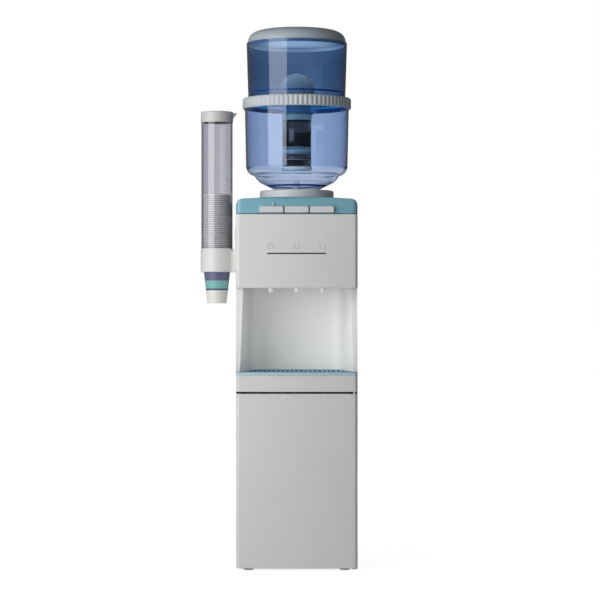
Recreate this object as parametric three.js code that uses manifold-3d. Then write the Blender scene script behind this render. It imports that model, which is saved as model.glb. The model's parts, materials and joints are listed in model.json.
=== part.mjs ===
// Floor-standing water cooler with a two-tank purifier bottle on top and a cup dispenser at its left side.
// Millimetres, +Z up, the front faces -Y. Pieces are placed about the cabinet's centre on the floor, and at
// the end the whole group moves so that its origin lies under the middle of the overall box.
import * as THREE from 'three';
import { mergeVertices } from 'three/addons/utils/BufferGeometryUtils.js';
import Module from 'manifold-3d';

const wasm = await Module();
wasm.setup();

// Shared values
const clearance = 0.3;
const overrun = 5;
const sheet = 0.8;
const tankSheet = 1;
const skin = 3;

// Cabinet body
const cabinetWidth = 310;
const cabinetDepth = 320;
const frontBow = 5;
const frontRadius = 10;
const frontZone = 30;
const foldWidth = 12;

// Heights of the stacked front pieces
const footHeight = 5;
const hingePlate = 1.2;
const doorGap = 0.6;
const doorHeight = 444;
const gripGap = 5.2;
const railHeight = 42;
const trayRim = 8.7;
const nicheHeight = 213.3;
const noseHeight = 187.7;
const seamHeight = 2;

// Feet and base pan
const footRadius = 14;
const footCrown = 11;
const footInset = 32;
const footSetback = 18;
const panWall = 1.5;
const panHeight = 18;

// Door
const doorDepth = 26;
const gripWidth = 240;
const gripDepth = 20;
const gripReach = 14;
const gripLip = 5;
const doorLinerWall = 2;
const doorLinerRib = 3;
const doorRibCount = 3;
const gasketWidth = 8;
const gasketInset = 12;
const hingeSide = 8;
const hingeBack = 12;
const hingePinRadius = 3;
const hingeBossRadius = 6;
const hingePinReach = 8;
const hingeFlange = 1.5;
const magnetWidth = 40;
const magnetHeight = 7;
const magnetDepth = 10;

// Storage compartment
const storageDepth = 150;
const storageWall = 2;
const storageFlange = 16;

// Lower rail
const railGroove = 1;
const railGrooveDrop = 4.5;

// Niche
const nicheDepth = 200;
const cheekRimWidth = 8;
const cheekRimInner = 24;
const cheekRimDepth = 3;
const nicheBackHalf = 118;
const nicheBackBow = 10;
const nicheCorner = 30;
const cheekFootSetback = 12;
const cheekHeadSetback = 60;
const linerWall = 2.5;

// Drip tray and grille
const trayDepth = 24;
const trayWall = 2;
const trayLedge = 4;
const grilleThickness = 3;
const grilleDrop = 1;
const grilleBar = 4;
const grilleSlot = 8;
const grilleFrame = 7;

// Nose panel, lenses and dark strip
const lensRadius = 7.5;
const lensDrop = 81;
const lensProud = 0.4;
const stripWidth = 150;
const stripHeight = 3.4;
const stripDrop = 100;
const stripDepth = 1.6;
const stripSunk = 0.4;

// Taps
const tapPitch = 66;
const tapSetback = 50;
const spoutRadius = 6.5;
const spoutBore = 4;
const spoutDrop = 10.5;
const tapFlangeRadius = 12;
const tapFlangeHeight = 3;
const tapBodyRadius = 10;
const tapBodyHeight = 42;
const tapInletRadius = 4.5;
const tapInletShare = 0.6;

// Keys and lock
const keyWidth = 61.2;
const keyGap = 3.2;
const keyHeight = 16.4;
const keyLip = 1.6;
const keyProud = 8;
const keyDepth = 19;
const keyBevel = 1.2;
const keyCorner = 3;
const keyTravel = 4;
const keyPlay = 0.4;
const keyCatch = 2;
const keyRib = 3;
const lockWidth = 4;
const lockHeight = 6;
const lockCorner = 1.25;
const lockTravel = 8;
const lockSunk = 2;
const lockProud = 2;
const lockAboveKey = 1.2;
const lockFromKeyEnd = 33;

// Top cover
const coverHeight = 38;
const coverCrown = 4.6;
const coverRadius = 15;
const coverEdge = 12;
const coverCorner = 20;
const seamSunk = 1.5;
const collarHoleShare = 0.947;

// Bottle collar and feed spike
const collarRadius = 96.5;
const collarHeight = 22;
const collarEdge = 5;
const collarWall = 3;
const funnelRadius = 56;
const spikeRadius = 11;
const spikeFlangeRadius = 18;
const spikeFlange = 3;
const spikeHeight = 55;
const spikeTip = 12;
const spikeBore = 5;
const spikeStemRadius = 9;

// Lower bottle tank
const bottleWall = 3;
const neckRadius = 27;
const neckHeight = 17;
const coneRadius = 95.5;
const coneHeight = 33;
const stepRadius = 104.5;
const stepHeight = 8.5;
const ledgeRadius = 110.9;
const ledgeHeight = 10;
const tankFootRadius = 132.7;
const tankFootHeight = 23.1;
const footCurveRadius = 129.2;
const footCurveShare = 0.2;
const lowerTankRadius = 136;
const lowerTankHeight = 161;
const coneAboveCover = 10;

// Coupling ring
const ringRadius = 141.8;
const ringHeight = 28;
const ringPlay = 1.3;
const ringOverlap = 11;
const ringWebWall = 3;
const ringWebInner = 116;
const ribCount = 72;
const ribDepth = 2;
const ribCrestShare = 0.5;

// Upper bottle tank
const upperFootRadius = 126.4;
const upperRimRadius = 131.2;
const upperTankHeight = 157.5;
const upperFootCurve = 6;
const stemHoleRadius = 13;

// Tank lid
const lidHeight = 36.6;
const lidShoulderRadius = 128.2;
const lidFlange = 2.7;
const lidSkirt = 8;
const lidFlangeOver = 1.6;
const lidCrownRadiusShare = 0.66;
const lidCrownHeightShare = 0.92;
const lidCurveHeightShare = 0.86;
const lidCurveRadiusShare = 0.985;

// Ceramic dome and filter cartridge
const domeRadius = 46;
const domeHeight = 76;
const domeBaseRadius = 50;
const domeBaseHeight = 7;
const domeStemRadius = 9;
const domeStemReach = 9;
const cartridgeRadius = 38.5;
const headHeight = 17.6;
const headEdge = 3;
const headBossRadius = 35;
const headTopBelowRing = 11.2;
const headLug = 4;
const headLugWidth = 10;
const headLugHeight = 8;
const cartridgeBodyRadius = 37.5;
const cartridgeBodyHeight = 114.8;
const bandProud = 0.6;
const bandLowShares = [0.1, 0.19, 0.375, 0.945];
const cartridgeBaseHeight = 19.8;
const cartridgeBaseRadius = 40;
const cartridgeBaseCurve = 8;

// Tanks, compressor and condenser
const jacketWidth = 176;
const jacketFront = 26;
const jacketDepth = 158;
const jacketRadius = 22;
const jacketHeight = 190;
const coldTankRadius = 66;
const coldTankHeight = 172;
const coldTankEdge = 12;
const tankMouthRadius = 24;
const hotTankRadius = 42;
const hotTankHeight = 130;
const hotTankEdge = 8;
const hotTankRise = 90;
const hotTankMouth = 8;
const hotTankBehind = 14;
const hotLugWidth = 30;
const hotLugHeight = 12;
const compressorRadius = 50;
const compressorHeight = 140;
const compressorShoulder = 34;
const compressorCrownShare = 0.33;
const compressorBehind = 62;
const compressorFootWidth = 150;
const compressorFootDepth = 84;
const compressorFootPlate = 3;
const grommetRadius = 9;
const grommetHeight = 12;
const grommetInset = 12;
const condenserRuns = 6;
const condenserPitch = 76;
const condenserHalfWidth = 100;
const condenserTube = 2.6;
const condenserBottom = 380;
const strapCount = 2;
const strapWidth = 12;
const strapThickness = 1.6;
const strapStandoff = 8;
const strapOver = 14;

// Fittings on the rear cover
const slotCount = 9;
const slotPitch = 18;
const slotHeight = 6;
const slotWidth = 100;
const slotColumnHalf = 66;
const slotBottom = 90;
const inletWidth = 48;
const inletHeight = 28;
const inletProud = 4;
const inletDepth = 18;
const inletWell = 12;
const inletLip = 6;
const inletInset = 55;
const inletUp = 52;
const drainRadius = 13;
const drainStemRadius = 9;
const drainStem = 9;
const drainCap = 9;
const drainAcross = 0;
const drainUp = 52;
const rockerWidth = 13;
const rockerHeight = 22;
const rockerDepth = 9;
const rockerProud = 2;
const rockerTilt = 7;
const rockerPlay = 0.8;
const rockerInset = 47;
const rockerGap = 18;
const rockerUp = 330;

// Cup dispenser
const cupTubeRadius = 40.2;
const cupTubeWall = 2;
const cupTubeLength = 358;
const cupAxisFromFront = 90;
const cupPlateThickness = 5;
const cupPlateWidth = 62;
const cupPlateHeight = 114;
const cupPlateCorner = 8;
const cupPlateBottom = 761;
const housingWall = 1.8;
const housingHeight = 61;
const housingEdge = 4;
const housingSocket = 7;
const armGap = 4;
const armWidth = 40;
const armHeight = 56;
const cupLidHeight = 28;
const cupLidWall = 1.2;
const cupLidCrown = 3;
const cupLidTabReach = 9.5;
const cupLidTabWidth = 20;
const cupLidTabDrop = 16;
const cupLidTabThickness = 3;
const cupRimRadius = 36.2;
const cupMouthRadius = 35.2;
const cupFootRadius = 24.7;
const cupHeight = 95;
const cupWall = 0.5;
const cupRimRoll = 1.6;
const cupDropBelowHousing = 80;
const nestPitch = 5.2;
const nestLift = 8;
const nestCount = 35;

// Facets
const roundSteps = 32;
const cupSteps = 24;
const tubSteps = 20;
const smallSteps = 12;
const fewSteps = 8;
const nestSteps = 12;
const tubeSides = 6;
const curveSteps = 4;
const bendSteps = 3;

// Places worked out from the sizes above
const halfWidth = cabinetWidth / 2;
const frontY = -cabinetDepth / 2;
const rearY = cabinetDepth / 2;
const zoneY = frontY + frontZone;
const doorBottom = footHeight + hingePlate + doorGap;
const doorTop = doorBottom + doorHeight;
const doorBackY = frontY + doorDepth;
const railBottom = doorTop + gripGap;
const railTop = railBottom + railHeight;
const trayTop = railTop + clearance + trayRim;
const noseBottom = trayTop + nicheHeight;
const noseTop = noseBottom + noseHeight;
const coverBottom = noseTop + seamHeight;
const coverSideTop = coverBottom + coverHeight;
const coverTop = coverSideTop + coverCrown;
const panelInnerX = halfWidth - sheet;
const rearCoverY = rearY - sheet;
const panelRearY = rearCoverY - clearance;
const foldY = panelRearY - sheet;
const linerFloorTop = railTop - trayDepth;
const linerFloor = linerFloorTop - linerWall;
const linerCeiling = noseBottom;
const nicheBackY = frontY + nicheDepth;
const cheekFootY = frontY + cheekFootSetback;
const cheekHeadY = frontY + cheekHeadSetback;
const hingeX = halfWidth - hingeSide;
const hingeY = frontY + hingeBack;
const strapY = rearY + strapStandoff;
const condenserY = strapY + strapThickness + condenserTube / 2;
const inletAcross = halfWidth - inletInset;
const rockerAcross = halfWidth - rockerInset;

// Material colours, as seen in the photo
const finishes = {
  white: { color: 0xcfd0ce, roughness: 0.35, metalness: 0 },
  steelWhite: { color: 0xc9cac8, roughness: 0.4, metalness: 0.1 },
  blue: { color: 0x82b4c6, roughness: 0.3, metalness: 0 },
  grey: { color: 0xb4b9be, roughness: 0.4, metalness: 0 },
  dark: { color: 0x2a2d30, roughness: 0.5, metalness: 0 },
  clearBlue: { color: 0x7f9fd0, roughness: 0.08, metalness: 0, transparent: true, opacity: 0.45 },
  clear: { color: 0xe4e6ea, roughness: 0.08, metalness: 0, transparent: true, opacity: 0.35 },
  steel: { color: 0xb8bcc0, roughness: 0.3, metalness: 1 },
  black: { color: 0x17191c, roughness: 0.5, metalness: 0.2 },
  ceramic: { color: 0xe6e4dc, roughness: 0.7, metalness: 0 },
  foam: { color: 0xe9e9e4, roughness: 0.9, metalness: 0 },
  cup: { color: 0xe2e2dc, roughness: 0.6, metalness: 0 },
  lens: { color: 0xd9dadb, roughness: 0.2, metalness: 0 },
};

const cooler = new THREE.Group();

// Puts a finished piece into the cooler under its own name
function addPiece(name, solid, finish) {
  const mesh = new THREE.Mesh(geometryOf(solid), new THREE.MeshStandardMaterial(finishes[finish]));
  mesh.name = name;
  cooler.add(mesh);
}

// Solids from three.js geometry and back

function signedVolume(vertices, triangles) {
  let volume = 0;
  const [a, b, c] = [new THREE.Vector3(), new THREE.Vector3(), new THREE.Vector3()];
  for (let i = 0; i < triangles.length; i += 3) {
    a.fromArray(vertices, triangles[i] * 3);
    b.fromArray(vertices, triangles[i + 1] * 3);
    c.fromArray(vertices, triangles[i + 2] * 3);
    volume += a.dot(b.cross(c)) / 6;
  }
  return volume;
}

function solidOf(source) {
  const bare = source.clone();
  bare.deleteAttribute('normal');
  bare.deleteAttribute('uv');
  const merged = mergeVertices(bare);
  const vertices = merged.attributes.position.array;
  const index = merged.index.array;
  const kept = [];
  for (let i = 0; i < index.length; i += 3) {
    const [a, b, c] = [index[i], index[i + 1], index[i + 2]];
    if (a !== b && b !== c && c !== a) kept.push(a, b, c);
  }
  if (signedVolume(vertices, kept) < 0) kept.reverse();
  const vertProperties = Float32Array.from(vertices);
  const triVerts = Uint32Array.from(kept);
  return new wasm.Manifold(new wasm.Mesh({ numProp: 3, vertProperties, triVerts }));
}

function geometryOf(solid) {
  const mesh = solid.getMesh();
  const geometry = new THREE.BufferGeometry();
  geometry.setAttribute('position', new THREE.BufferAttribute(Float32Array.from(mesh.vertProperties), 3));
  geometry.setIndex(new THREE.BufferAttribute(Uint32Array.from(mesh.triVerts), 1));
  geometry.computeVertexNormals();
  return geometry;
}

function joined(...solids) {
  return solids.reduce((whole, solid) => whole.add(solid));
}

function cut(solid, ...cutters) {
  return cutters.reduce((whole, cutter) => whole.subtract(cutter), solid);
}

// A profile of radius and height, turned about an upright axis at (x, y)
function turned(points, x = 0, y = 0, steps = roundSteps) {
  const profile = points.map(([radius, height]) => new THREE.Vector2(Math.max(radius, 0), height));
  const geometry = new THREE.LatheGeometry(profile, steps);
  geometry.rotateX(Math.PI / 2);
  geometry.translate(x, y, 0);
  return solidOf(geometry);
}

function closedRing(points) {
  return [...points, points[0]];
}

// The wall of a vessel: its outside profile, from the foot or rim towards the other end, and the same
// profile moved by the wall to the left of that way
function shellProfile(points, wall) {
  const last = points.length - 1;
  const leftOf = (from, to) => {
    const length = Math.hypot(to[0] - from[0], to[1] - from[1]);
    return [-(to[1] - from[1]) / length, (to[0] - from[0]) / length];
  };
  const inner = points.map((point, i) => {
    const before = i > 0 ? leftOf(points[i - 1], point) : leftOf(point, points[i + 1]);
    const after = i < last ? leftOf(point, points[i + 1]) : before;
    const sum = [before[0] + after[0], before[1] + after[1]];
    const scale = wall / (1 + before[0] * after[0] + before[1] * after[1]);
    return [point[0] + sum[0] * scale, point[1] + sum[1] * scale];
  });
  return closedRing([...points, ...inner.reverse()]);
}

// Points of a path in radius and height, with its curves divided
function pathPoints(draw, steps = bendSteps) {
  const path = new THREE.Path();
  draw(path);
  return path.getPoints(steps).map((point) => [point.x, point.y]);
}

// Extrusions: up from an outline in X and Y, back from one in X and Z, across from one in Y and Z
function extruded(shape, length, bevel = 0) {
  return new THREE.ExtrudeGeometry(shape, {
    depth: length - 2 * bevel,
    steps: 1,
    curveSegments: curveSteps,
    bevelEnabled: bevel > 0,
    bevelThickness: bevel,
    bevelSize: bevel,
    bevelOffset: -bevel,
    bevelSegments: 1,
  });
}

function upright(shape, low, high) {
  return solidOf(extruded(shape, high - low).translate(0, 0, low));
}

function backwards(shape, front, back, bevel = 0) {
  const geometry = extruded(shape, back - front, bevel);
  geometry.translate(0, 0, bevel);
  geometry.rotateX(Math.PI / 2);
  return solidOf(geometry.translate(0, back, 0));
}

function sideways(shape, left, right) {
  const turn = new THREE.Matrix4().makeBasis(
    new THREE.Vector3(0, 1, 0),
    new THREE.Vector3(0, 0, 1),
    new THREE.Vector3(1, 0, 0),
  );
  const geometry = extruded(shape, right - left).applyMatrix4(turn);
  return solidOf(geometry.translate(left, 0, 0));
}

function block([left, right], [front, back], [low, high]) {
  const geometry = new THREE.BoxGeometry(right - left, back - front, high - low);
  geometry.translate((left + right) / 2, (front + back) / 2, (low + high) / 2);
  return solidOf(geometry);
}

function outline(points) {
  return new THREE.Shape(points.map(([across, up]) => new THREE.Vector2(across, up)));
}

function roundedOutline([left, right], [low, high], radius) {
  const shape = new THREE.Shape();
  shape.moveTo(left + radius, low);
  shape.lineTo(right - radius, low);
  shape.quadraticCurveTo(right, low, right, low + radius);
  shape.lineTo(right, high - radius);
  shape.quadraticCurveTo(right, high, right - radius, high);
  shape.lineTo(left + radius, high);
  shape.quadraticCurveTo(left, high, left, high - radius);
  shape.lineTo(left, low + radius);
  shape.quadraticCurveTo(left, low, left + radius, low);
  return shape;
}

function barrel(radius, front, back, x, z, steps = smallSteps) {
  const geometry = new THREE.CylinderGeometry(radius, radius, back - front, steps);
  return solidOf(geometry.translate(x, (front + back) / 2, z));
}

function post(radius, x, y, low, high, steps = smallSteps) {
  return turned([[0, low], [radius, low], [radius, high], [0, high]], x, y, steps);
}

// Plan of the front pieces: straight sides, rounded front corners and a slightly bowed front
function frontPlan(inset, backY, radius = frontRadius) {
  const half = halfWidth - inset;
  const middle = frontY + inset;
  const side = middle + frontBow;
  const corner = Math.max(radius - inset, skin);
  const shape = new THREE.Shape();
  shape.moveTo(-half, backY);
  shape.lineTo(-half, side + corner);
  shape.quadraticCurveTo(-half, side, -half + corner, side);
  shape.quadraticCurveTo(0, middle - frontBow, half - corner, side);
  shape.quadraticCurveTo(half, side, half, side + corner);
  shape.lineTo(half, backY);
  return shape;
}

function frontBlock(inset, low, high, backY = zoneY) {
  return upright(frontPlan(inset, backY), low, high);
}

// How far back the bowed front lies at a place across it
function frontAt(x) {
  const share = x / (halfWidth - frontRadius);
  return frontY + frontBow * share * share;
}

// Feet, pan and sheet panels

function addFeet() {
  const across = halfWidth - footInset;
  const [front, back] = [zoneY + footSetback, foldY - footSetback];
  const places = {
    foot_front_left: [-across, front],
    foot_front_right: [across, front],
    foot_rear_left: [-across, back],
    foot_rear_right: [across, back],
  };
  const waist = footHeight / 2;
  for (const [name, [x, y]] of Object.entries(places)) {
    const profile = [[0, 0], [footRadius, 0], [footRadius, waist], [footCrown, footHeight], [0, footHeight]];
    addPiece(name, turned(profile, x, y, smallSteps), 'dark');
  }
}

function addBasePan() {
  const half = panelInnerX - clearance;
  const [front, back] = [zoneY + clearance, foldY - clearance];
  const outer = block([-half, half], [front, back], [footHeight, footHeight + panHeight]);
  const inner = block(
    [-half + panWall, half - panWall],
    [front + panWall, back - panWall],
    [footHeight + panWall, footHeight + panHeight + overrun],
  );
  addPiece('base_pan', cut(outer, inner), 'steelWhite');
}

function addSidePanels() {
  const rimBack = cheekRimDepth + clearance;
  const profile = outline([
    [zoneY + clearance, footHeight],
    [zoneY + clearance, railTop + clearance],
    [cheekFootY + rimBack, railTop + clearance],
    [cheekHeadY + rimBack, noseBottom],
    [zoneY + clearance, noseBottom],
    [zoneY + clearance, noseTop],
    [panelRearY, noseTop],
    [panelRearY, footHeight],
  ]);
  const foldX = [panelInnerX - foldWidth, halfWidth];
  const topFold = block(foldX, [zoneY + clearance, panelRearY], [noseTop - sheet, noseTop]);
  const rearFold = block(foldX, [foldY, panelRearY], [footHeight, noseTop]);
  const right = joined(sideways(profile, panelInnerX, halfWidth), topFold, rearFold);
  addPiece('side_panel_right', right, 'steelWhite');
  addPiece('side_panel_left', right.mirror([1, 0, 0]), 'steelWhite');
}

function addRearCover() {
  const through = [rearCoverY - overrun, rearY + overrun];
  let cover = block([-halfWidth, halfWidth], [rearCoverY, rearY], [footHeight, noseTop]);
  for (let i = 0; i < slotCount; i += 1) {
    for (const side of [-1, 1]) {
      const low = slotBottom + i * slotPitch;
      const middle = side * slotColumnHalf;
      const across = [middle - slotWidth / 2, middle + slotWidth / 2];
      cover = cut(cover, block(across, through, [low, low + slotHeight]));
    }
  }
  const inletHole = block(
    [inletAcross - inletWidth / 2 + inletLip, inletAcross + inletWidth / 2 - inletLip],
    through,
    [inletUp - inletHeight / 2 + inletLip, inletUp + inletHeight / 2 - inletLip],
  );
  const drainHole = barrel(drainStemRadius + clearance, ...through, drainAcross, drainUp);
  cover = cut(cover, inletHole, drainHole);
  for (const x of rockerPlaces()) {
    const [halfAcross, halfUp] = [rockerWidth / 2 + rockerPlay, rockerHeight / 2 + rockerPlay];
    const hole = block([x - halfAcross, x + halfAcross], through, [rockerUp - halfUp, rockerUp + halfUp]);
    cover = cut(cover, hole);
  }
  addPiece('rear_cover', cover, 'steelWhite');
}

// Fittings at the back

function rockerPlaces() {
  return [rockerAcross - rockerGap / 2 - rockerWidth / 2, rockerAcross + rockerGap / 2 + rockerWidth / 2];
}

function addRockers() {
  const names = ['heating_switch', 'cooling_switch'];
  const pivotY = rearY - rockerDepth / 2 + rockerProud;
  rockerPlaces().forEach((x, i) => {
    const half = rockerHeight / 2;
    const depth = rockerDepth / 2;
    const face = new THREE.Shape();
    face.moveTo(-depth, -half);
    face.lineTo(depth, -half);
    face.quadraticCurveTo(depth - rockerProud, 0, depth, half);
    face.lineTo(-depth, half);
    const rocker = sideways(face, x - rockerWidth / 2, x + rockerWidth / 2).rotate([rockerTilt, 0, 0]);
    addPiece(names[i], rocker.translate([0, pivotY, rockerUp]), 'dark');
  });
}

function addInletAndDrain() {
  const plate = roundedOutline(
    [inletAcross - inletWidth / 2, inletAcross + inletWidth / 2],
    [inletUp - inletHeight / 2, inletUp + inletHeight / 2],
    inletLip,
  );
  const edge = inletLip + clearance;
  const body = block(
    [inletAcross - inletWidth / 2 + edge, inletAcross + inletWidth / 2 - edge],
    [rearCoverY - inletDepth, rearY + inletProud / 2],
    [inletUp - inletHeight / 2 + edge, inletUp + inletHeight / 2 - edge],
  );
  const wellEdge = edge + panWall;
  const well = block(
    [inletAcross - inletWidth / 2 + wellEdge, inletAcross + inletWidth / 2 - wellEdge],
    [rearY - inletWell, rearY + inletProud + overrun],
    [inletUp - inletHeight / 2 + wellEdge, inletUp + inletHeight / 2 - wellEdge],
  );
  const flange = backwards(plate, rearY + clearance, rearY + inletProud);
  addPiece('power_inlet', cut(joined(flange, body), well), 'black');
  const stem = barrel(drainStemRadius, rearCoverY - drainStem, rearY + drainCap / 2, drainAcross, drainUp);
  const cap = barrel(drainRadius, rearY + clearance, rearY + drainCap, drainAcross, drainUp, fewSteps);
  addPiece('drain_plug', joined(stem, cap), 'grey');
}

function addCondenser() {
  const top = condenserBottom + (condenserRuns - 1) * condenserPitch;
  const bend = condenserPitch / 2;
  const pieces = [];
  for (let i = 0; i < condenserRuns; i += 1) {
    const z = condenserBottom + i * condenserPitch;
    const run = new THREE.CylinderGeometry(condenserTube, condenserTube, 2 * condenserHalfWidth, tubeSides);
    run.rotateZ(Math.PI / 2);
    pieces.push(solidOf(run.translate(0, condenserY, z)));
  }
  for (let i = 0; i < condenserRuns - 1; i += 1) {
    const side = i % 2 === 0 ? 1 : -1;
    const x = side * (condenserHalfWidth - clearance);
    const centre = new THREE.Vector3(x, condenserY, condenserBottom + i * condenserPitch + bend);
    pieces.push(condenserBend(centre, side, bend));
  }
  const pitch = 2 * (condenserHalfWidth - strapWidth) / (strapCount - 1);
  for (let i = 0; i < strapCount; i += 1) {
    const x = -condenserHalfWidth + strapWidth + i * pitch;
    const across = [x - strapWidth / 2, x + strapWidth / 2];
    const [low, high] = [condenserBottom - strapOver, top + strapOver];
    const standoff = [rearY + clearance, strapY + strapThickness];
    pieces.push(block(across, [strapY, strapY + strapThickness], [low, high]));
    pieces.push(block(across, standoff, [high - strapWidth, high]));
    pieces.push(block(across, standoff, [low, low + strapWidth]));
  }
  addPiece('condenser', joined(...pieces), 'black');
}

function condenserBend(centre, side, radius) {
  class HalfTurn extends THREE.Curve {
    getPoint(share, target = new THREE.Vector3()) {
      const angle = -Math.PI / 2 + share * Math.PI;
      const out = side * radius * Math.cos(angle);
      return target.set(centre.x + out, centre.y, centre.z + radius * Math.sin(angle));
    }
  }
  const section = new THREE.Shape();
  section.absarc(0, 0, condenserTube, 0, 2 * Math.PI);
  const options = {
    steps: 2 * bendSteps,
    curveSegments: tubeSides / 2,
    bevelEnabled: false,
    extrudePath: new HalfTurn(),
  };
  return solidOf(new THREE.ExtrudeGeometry(section, options));
}

// Machine parts inside the cabinet

function addCompressor() {
  const y = foldY - compressorBehind;
  const padTop = footHeight + panWall + clearance + grommetHeight;
  const potBottom = padTop + compressorFootPlate / 2;
  const potTop = potBottom + compressorHeight;
  const profile = pathPoints((path) => {
    path.moveTo(0, potBottom);
    path.lineTo(compressorRadius - compressorShoulder / 2, potBottom);
    path.quadraticCurveTo(compressorRadius, potBottom, compressorRadius, potBottom + compressorShoulder / 2);
    path.lineTo(compressorRadius, potTop - compressorShoulder);
    path.quadraticCurveTo(compressorRadius, potTop, compressorRadius * compressorCrownShare, potTop);
    path.lineTo(0, potTop);
  });
  const halfFoot = [compressorFootWidth / 2, compressorFootDepth / 2];
  const plate = block(
    [-halfFoot[0], halfFoot[0]],
    [y - halfFoot[1], y + halfFoot[1]],
    [padTop, padTop + compressorFootPlate],
  );
  const pieces = [turned(profile, 0, y, smallSteps), plate];
  for (const sideX of [-1, 1]) {
    for (const sideY of [-1, 1]) {
      const x = sideX * (halfFoot[0] - grommetInset);
      const footY = y + sideY * (halfFoot[1] - grommetInset);
      pieces.push(post(grommetRadius, x, footY, padTop - grommetHeight, potBottom, fewSteps));
    }
  }
  addPiece('compressor', joined(...pieces), 'black');
}

function addColdTank() {
  const low = linerCeiling + linerWall + clearance;
  const front = frontY + tapSetback + tapFlangeRadius + jacketFront;
  const middle = front + jacketDepth / 2;
  const across = [-jacketWidth / 2, jacketWidth / 2];
  const plan = roundedOutline(across, [front, front + jacketDepth], jacketRadius);
  const top = low + jacketHeight;
  const tankLow = top - coldTankHeight;
  const bore = post(coldTankRadius + clearance, 0, middle, tankLow - clearance, top + overrun, tubSteps);
  addPiece('tank_jacket', cut(upright(plan, low, top), bore), 'foam');
  const profile = pathPoints((path) => {
    path.moveTo(0, tankLow);
    path.lineTo(coldTankRadius, tankLow);
    path.lineTo(coldTankRadius, top - coldTankEdge);
    path.quadraticCurveTo(coldTankRadius, top, coldTankRadius - coldTankEdge, top);
    path.lineTo(tankMouthRadius, top);
  });
  addPiece('cold_tank', turned(shellProfile(profile, tankSheet), 0, middle, tubSteps), 'steel');
}

function addHotTank() {
  const wallBack = nicheBackY + linerWall;
  const y = wallBack + hotTankBehind + hotTankRadius;
  const low = linerFloor + hotTankRise;
  const high = low + hotTankHeight;
  const profile = pathPoints((path) => {
    path.moveTo(0, low);
    path.lineTo(hotTankRadius - hotTankEdge, low);
    path.quadraticCurveTo(hotTankRadius, low, hotTankRadius, low + hotTankEdge);
    path.lineTo(hotTankRadius, high - hotTankEdge);
    path.quadraticCurveTo(hotTankRadius, high, hotTankRadius - hotTankEdge, high);
    path.lineTo(hotTankMouth, high);
  });
  const core = post(hotTankRadius - tankSheet / 2, 0, y, low, high, tubSteps);
  const pieces = [turned(shellProfile(profile, tankSheet), 0, y, tubSteps)];
  for (const z of [low + hotTankEdge, high - hotTankEdge - hotLugHeight]) {
    const across = [-hotLugWidth / 2, hotLugWidth / 2];
    pieces.push(cut(block(across, [wallBack + clearance, y], [z, z + hotLugHeight]), core));
  }
  addPiece('hot_tank', joined(...pieces), 'steel');
}

// Storage compartment and door

function addStorageLiner() {
  const half = panelInnerX - clearance - panWall - clearance;
  const low = footHeight + panWall + clearance;
  const front = zoneY + clearance + panWall + clearance;
  const back = zoneY + storageDepth;
  const sill = footHeight + panHeight + clearance;
  const outer = block([-half, half], [front, back], [low, doorTop]);
  const hollow = block(
    [-half + storageWall, half - storageWall],
    [zoneY - overrun, back - storageWall],
    [low + storageWall, doorTop - storageWall],
  );
  const frame = block([-half, half], [zoneY, front + storageWall], [sill, doorTop]);
  const mouth = block(
    [-half + storageFlange, half - storageFlange],
    [zoneY - overrun, front + storageWall + overrun],
    [sill - overrun, doorTop - storageFlange],
  );
  const box = cut(outer, hollow);
  addPiece('storage_liner', joined(box, cut(frame, mouth)), 'white');
}

function addDoorMagnet() {
  const front = zoneY + clearance + panWall + clearance + storageWall + clearance;
  const top = doorTop - storageWall - clearance;
  const half = magnetWidth / 2;
  const magnet = block([-half, half], [front, front + magnetDepth], [top - magnetHeight, top]);
  addPiece('door_magnet', magnet, 'dark');
}

function addDoor() {
  const gripFront = frontY + frontBow + gripLip;
  const gripBack = gripFront + gripReach;
  const gripFloor = doorTop - gripDepth;
  const outer = frontBlock(0, doorBottom, doorTop, doorBackY);
  const hollow = frontBlock(skin, doorBottom + skin, gripFloor - skin, doorBackY + overrun);
  const grip = block([-gripWidth / 2, gripWidth / 2], [gripFront, gripBack], [gripFloor, doorTop + overrun]);
  const pocketBack = block(
    [-halfWidth + skin, halfWidth - skin],
    [gripBack + skin, doorBackY + overrun],
    [gripFloor - skin - overrun, doorTop - skin],
  );
  let shell = cut(outer, hollow, grip, pocketBack);
  const [pinLow, pinHigh] = [doorBottom + hingePinReach, doorTop - hingePinReach];
  const bossTop = post(hingeBossRadius, hingeX, hingeY, pinHigh - skin, doorTop);
  const bossBottom = post(hingeBossRadius, hingeX, hingeY, doorBottom, pinLow + skin);
  shell = joined(shell, bossTop, bossBottom);
  const boreRadius = hingePinRadius + clearance;
  const boreTop = post(boreRadius, hingeX, hingeY, pinHigh - clearance, doorTop + overrun);
  const boreBottom = post(boreRadius, hingeX, hingeY, doorBottom - overrun, pinLow + clearance);
  addPiece('door_shell', cut(shell, boreTop, boreBottom), 'white');
  addDoorLiner(gripFloor - skin);
  addHingePins();
}

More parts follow.
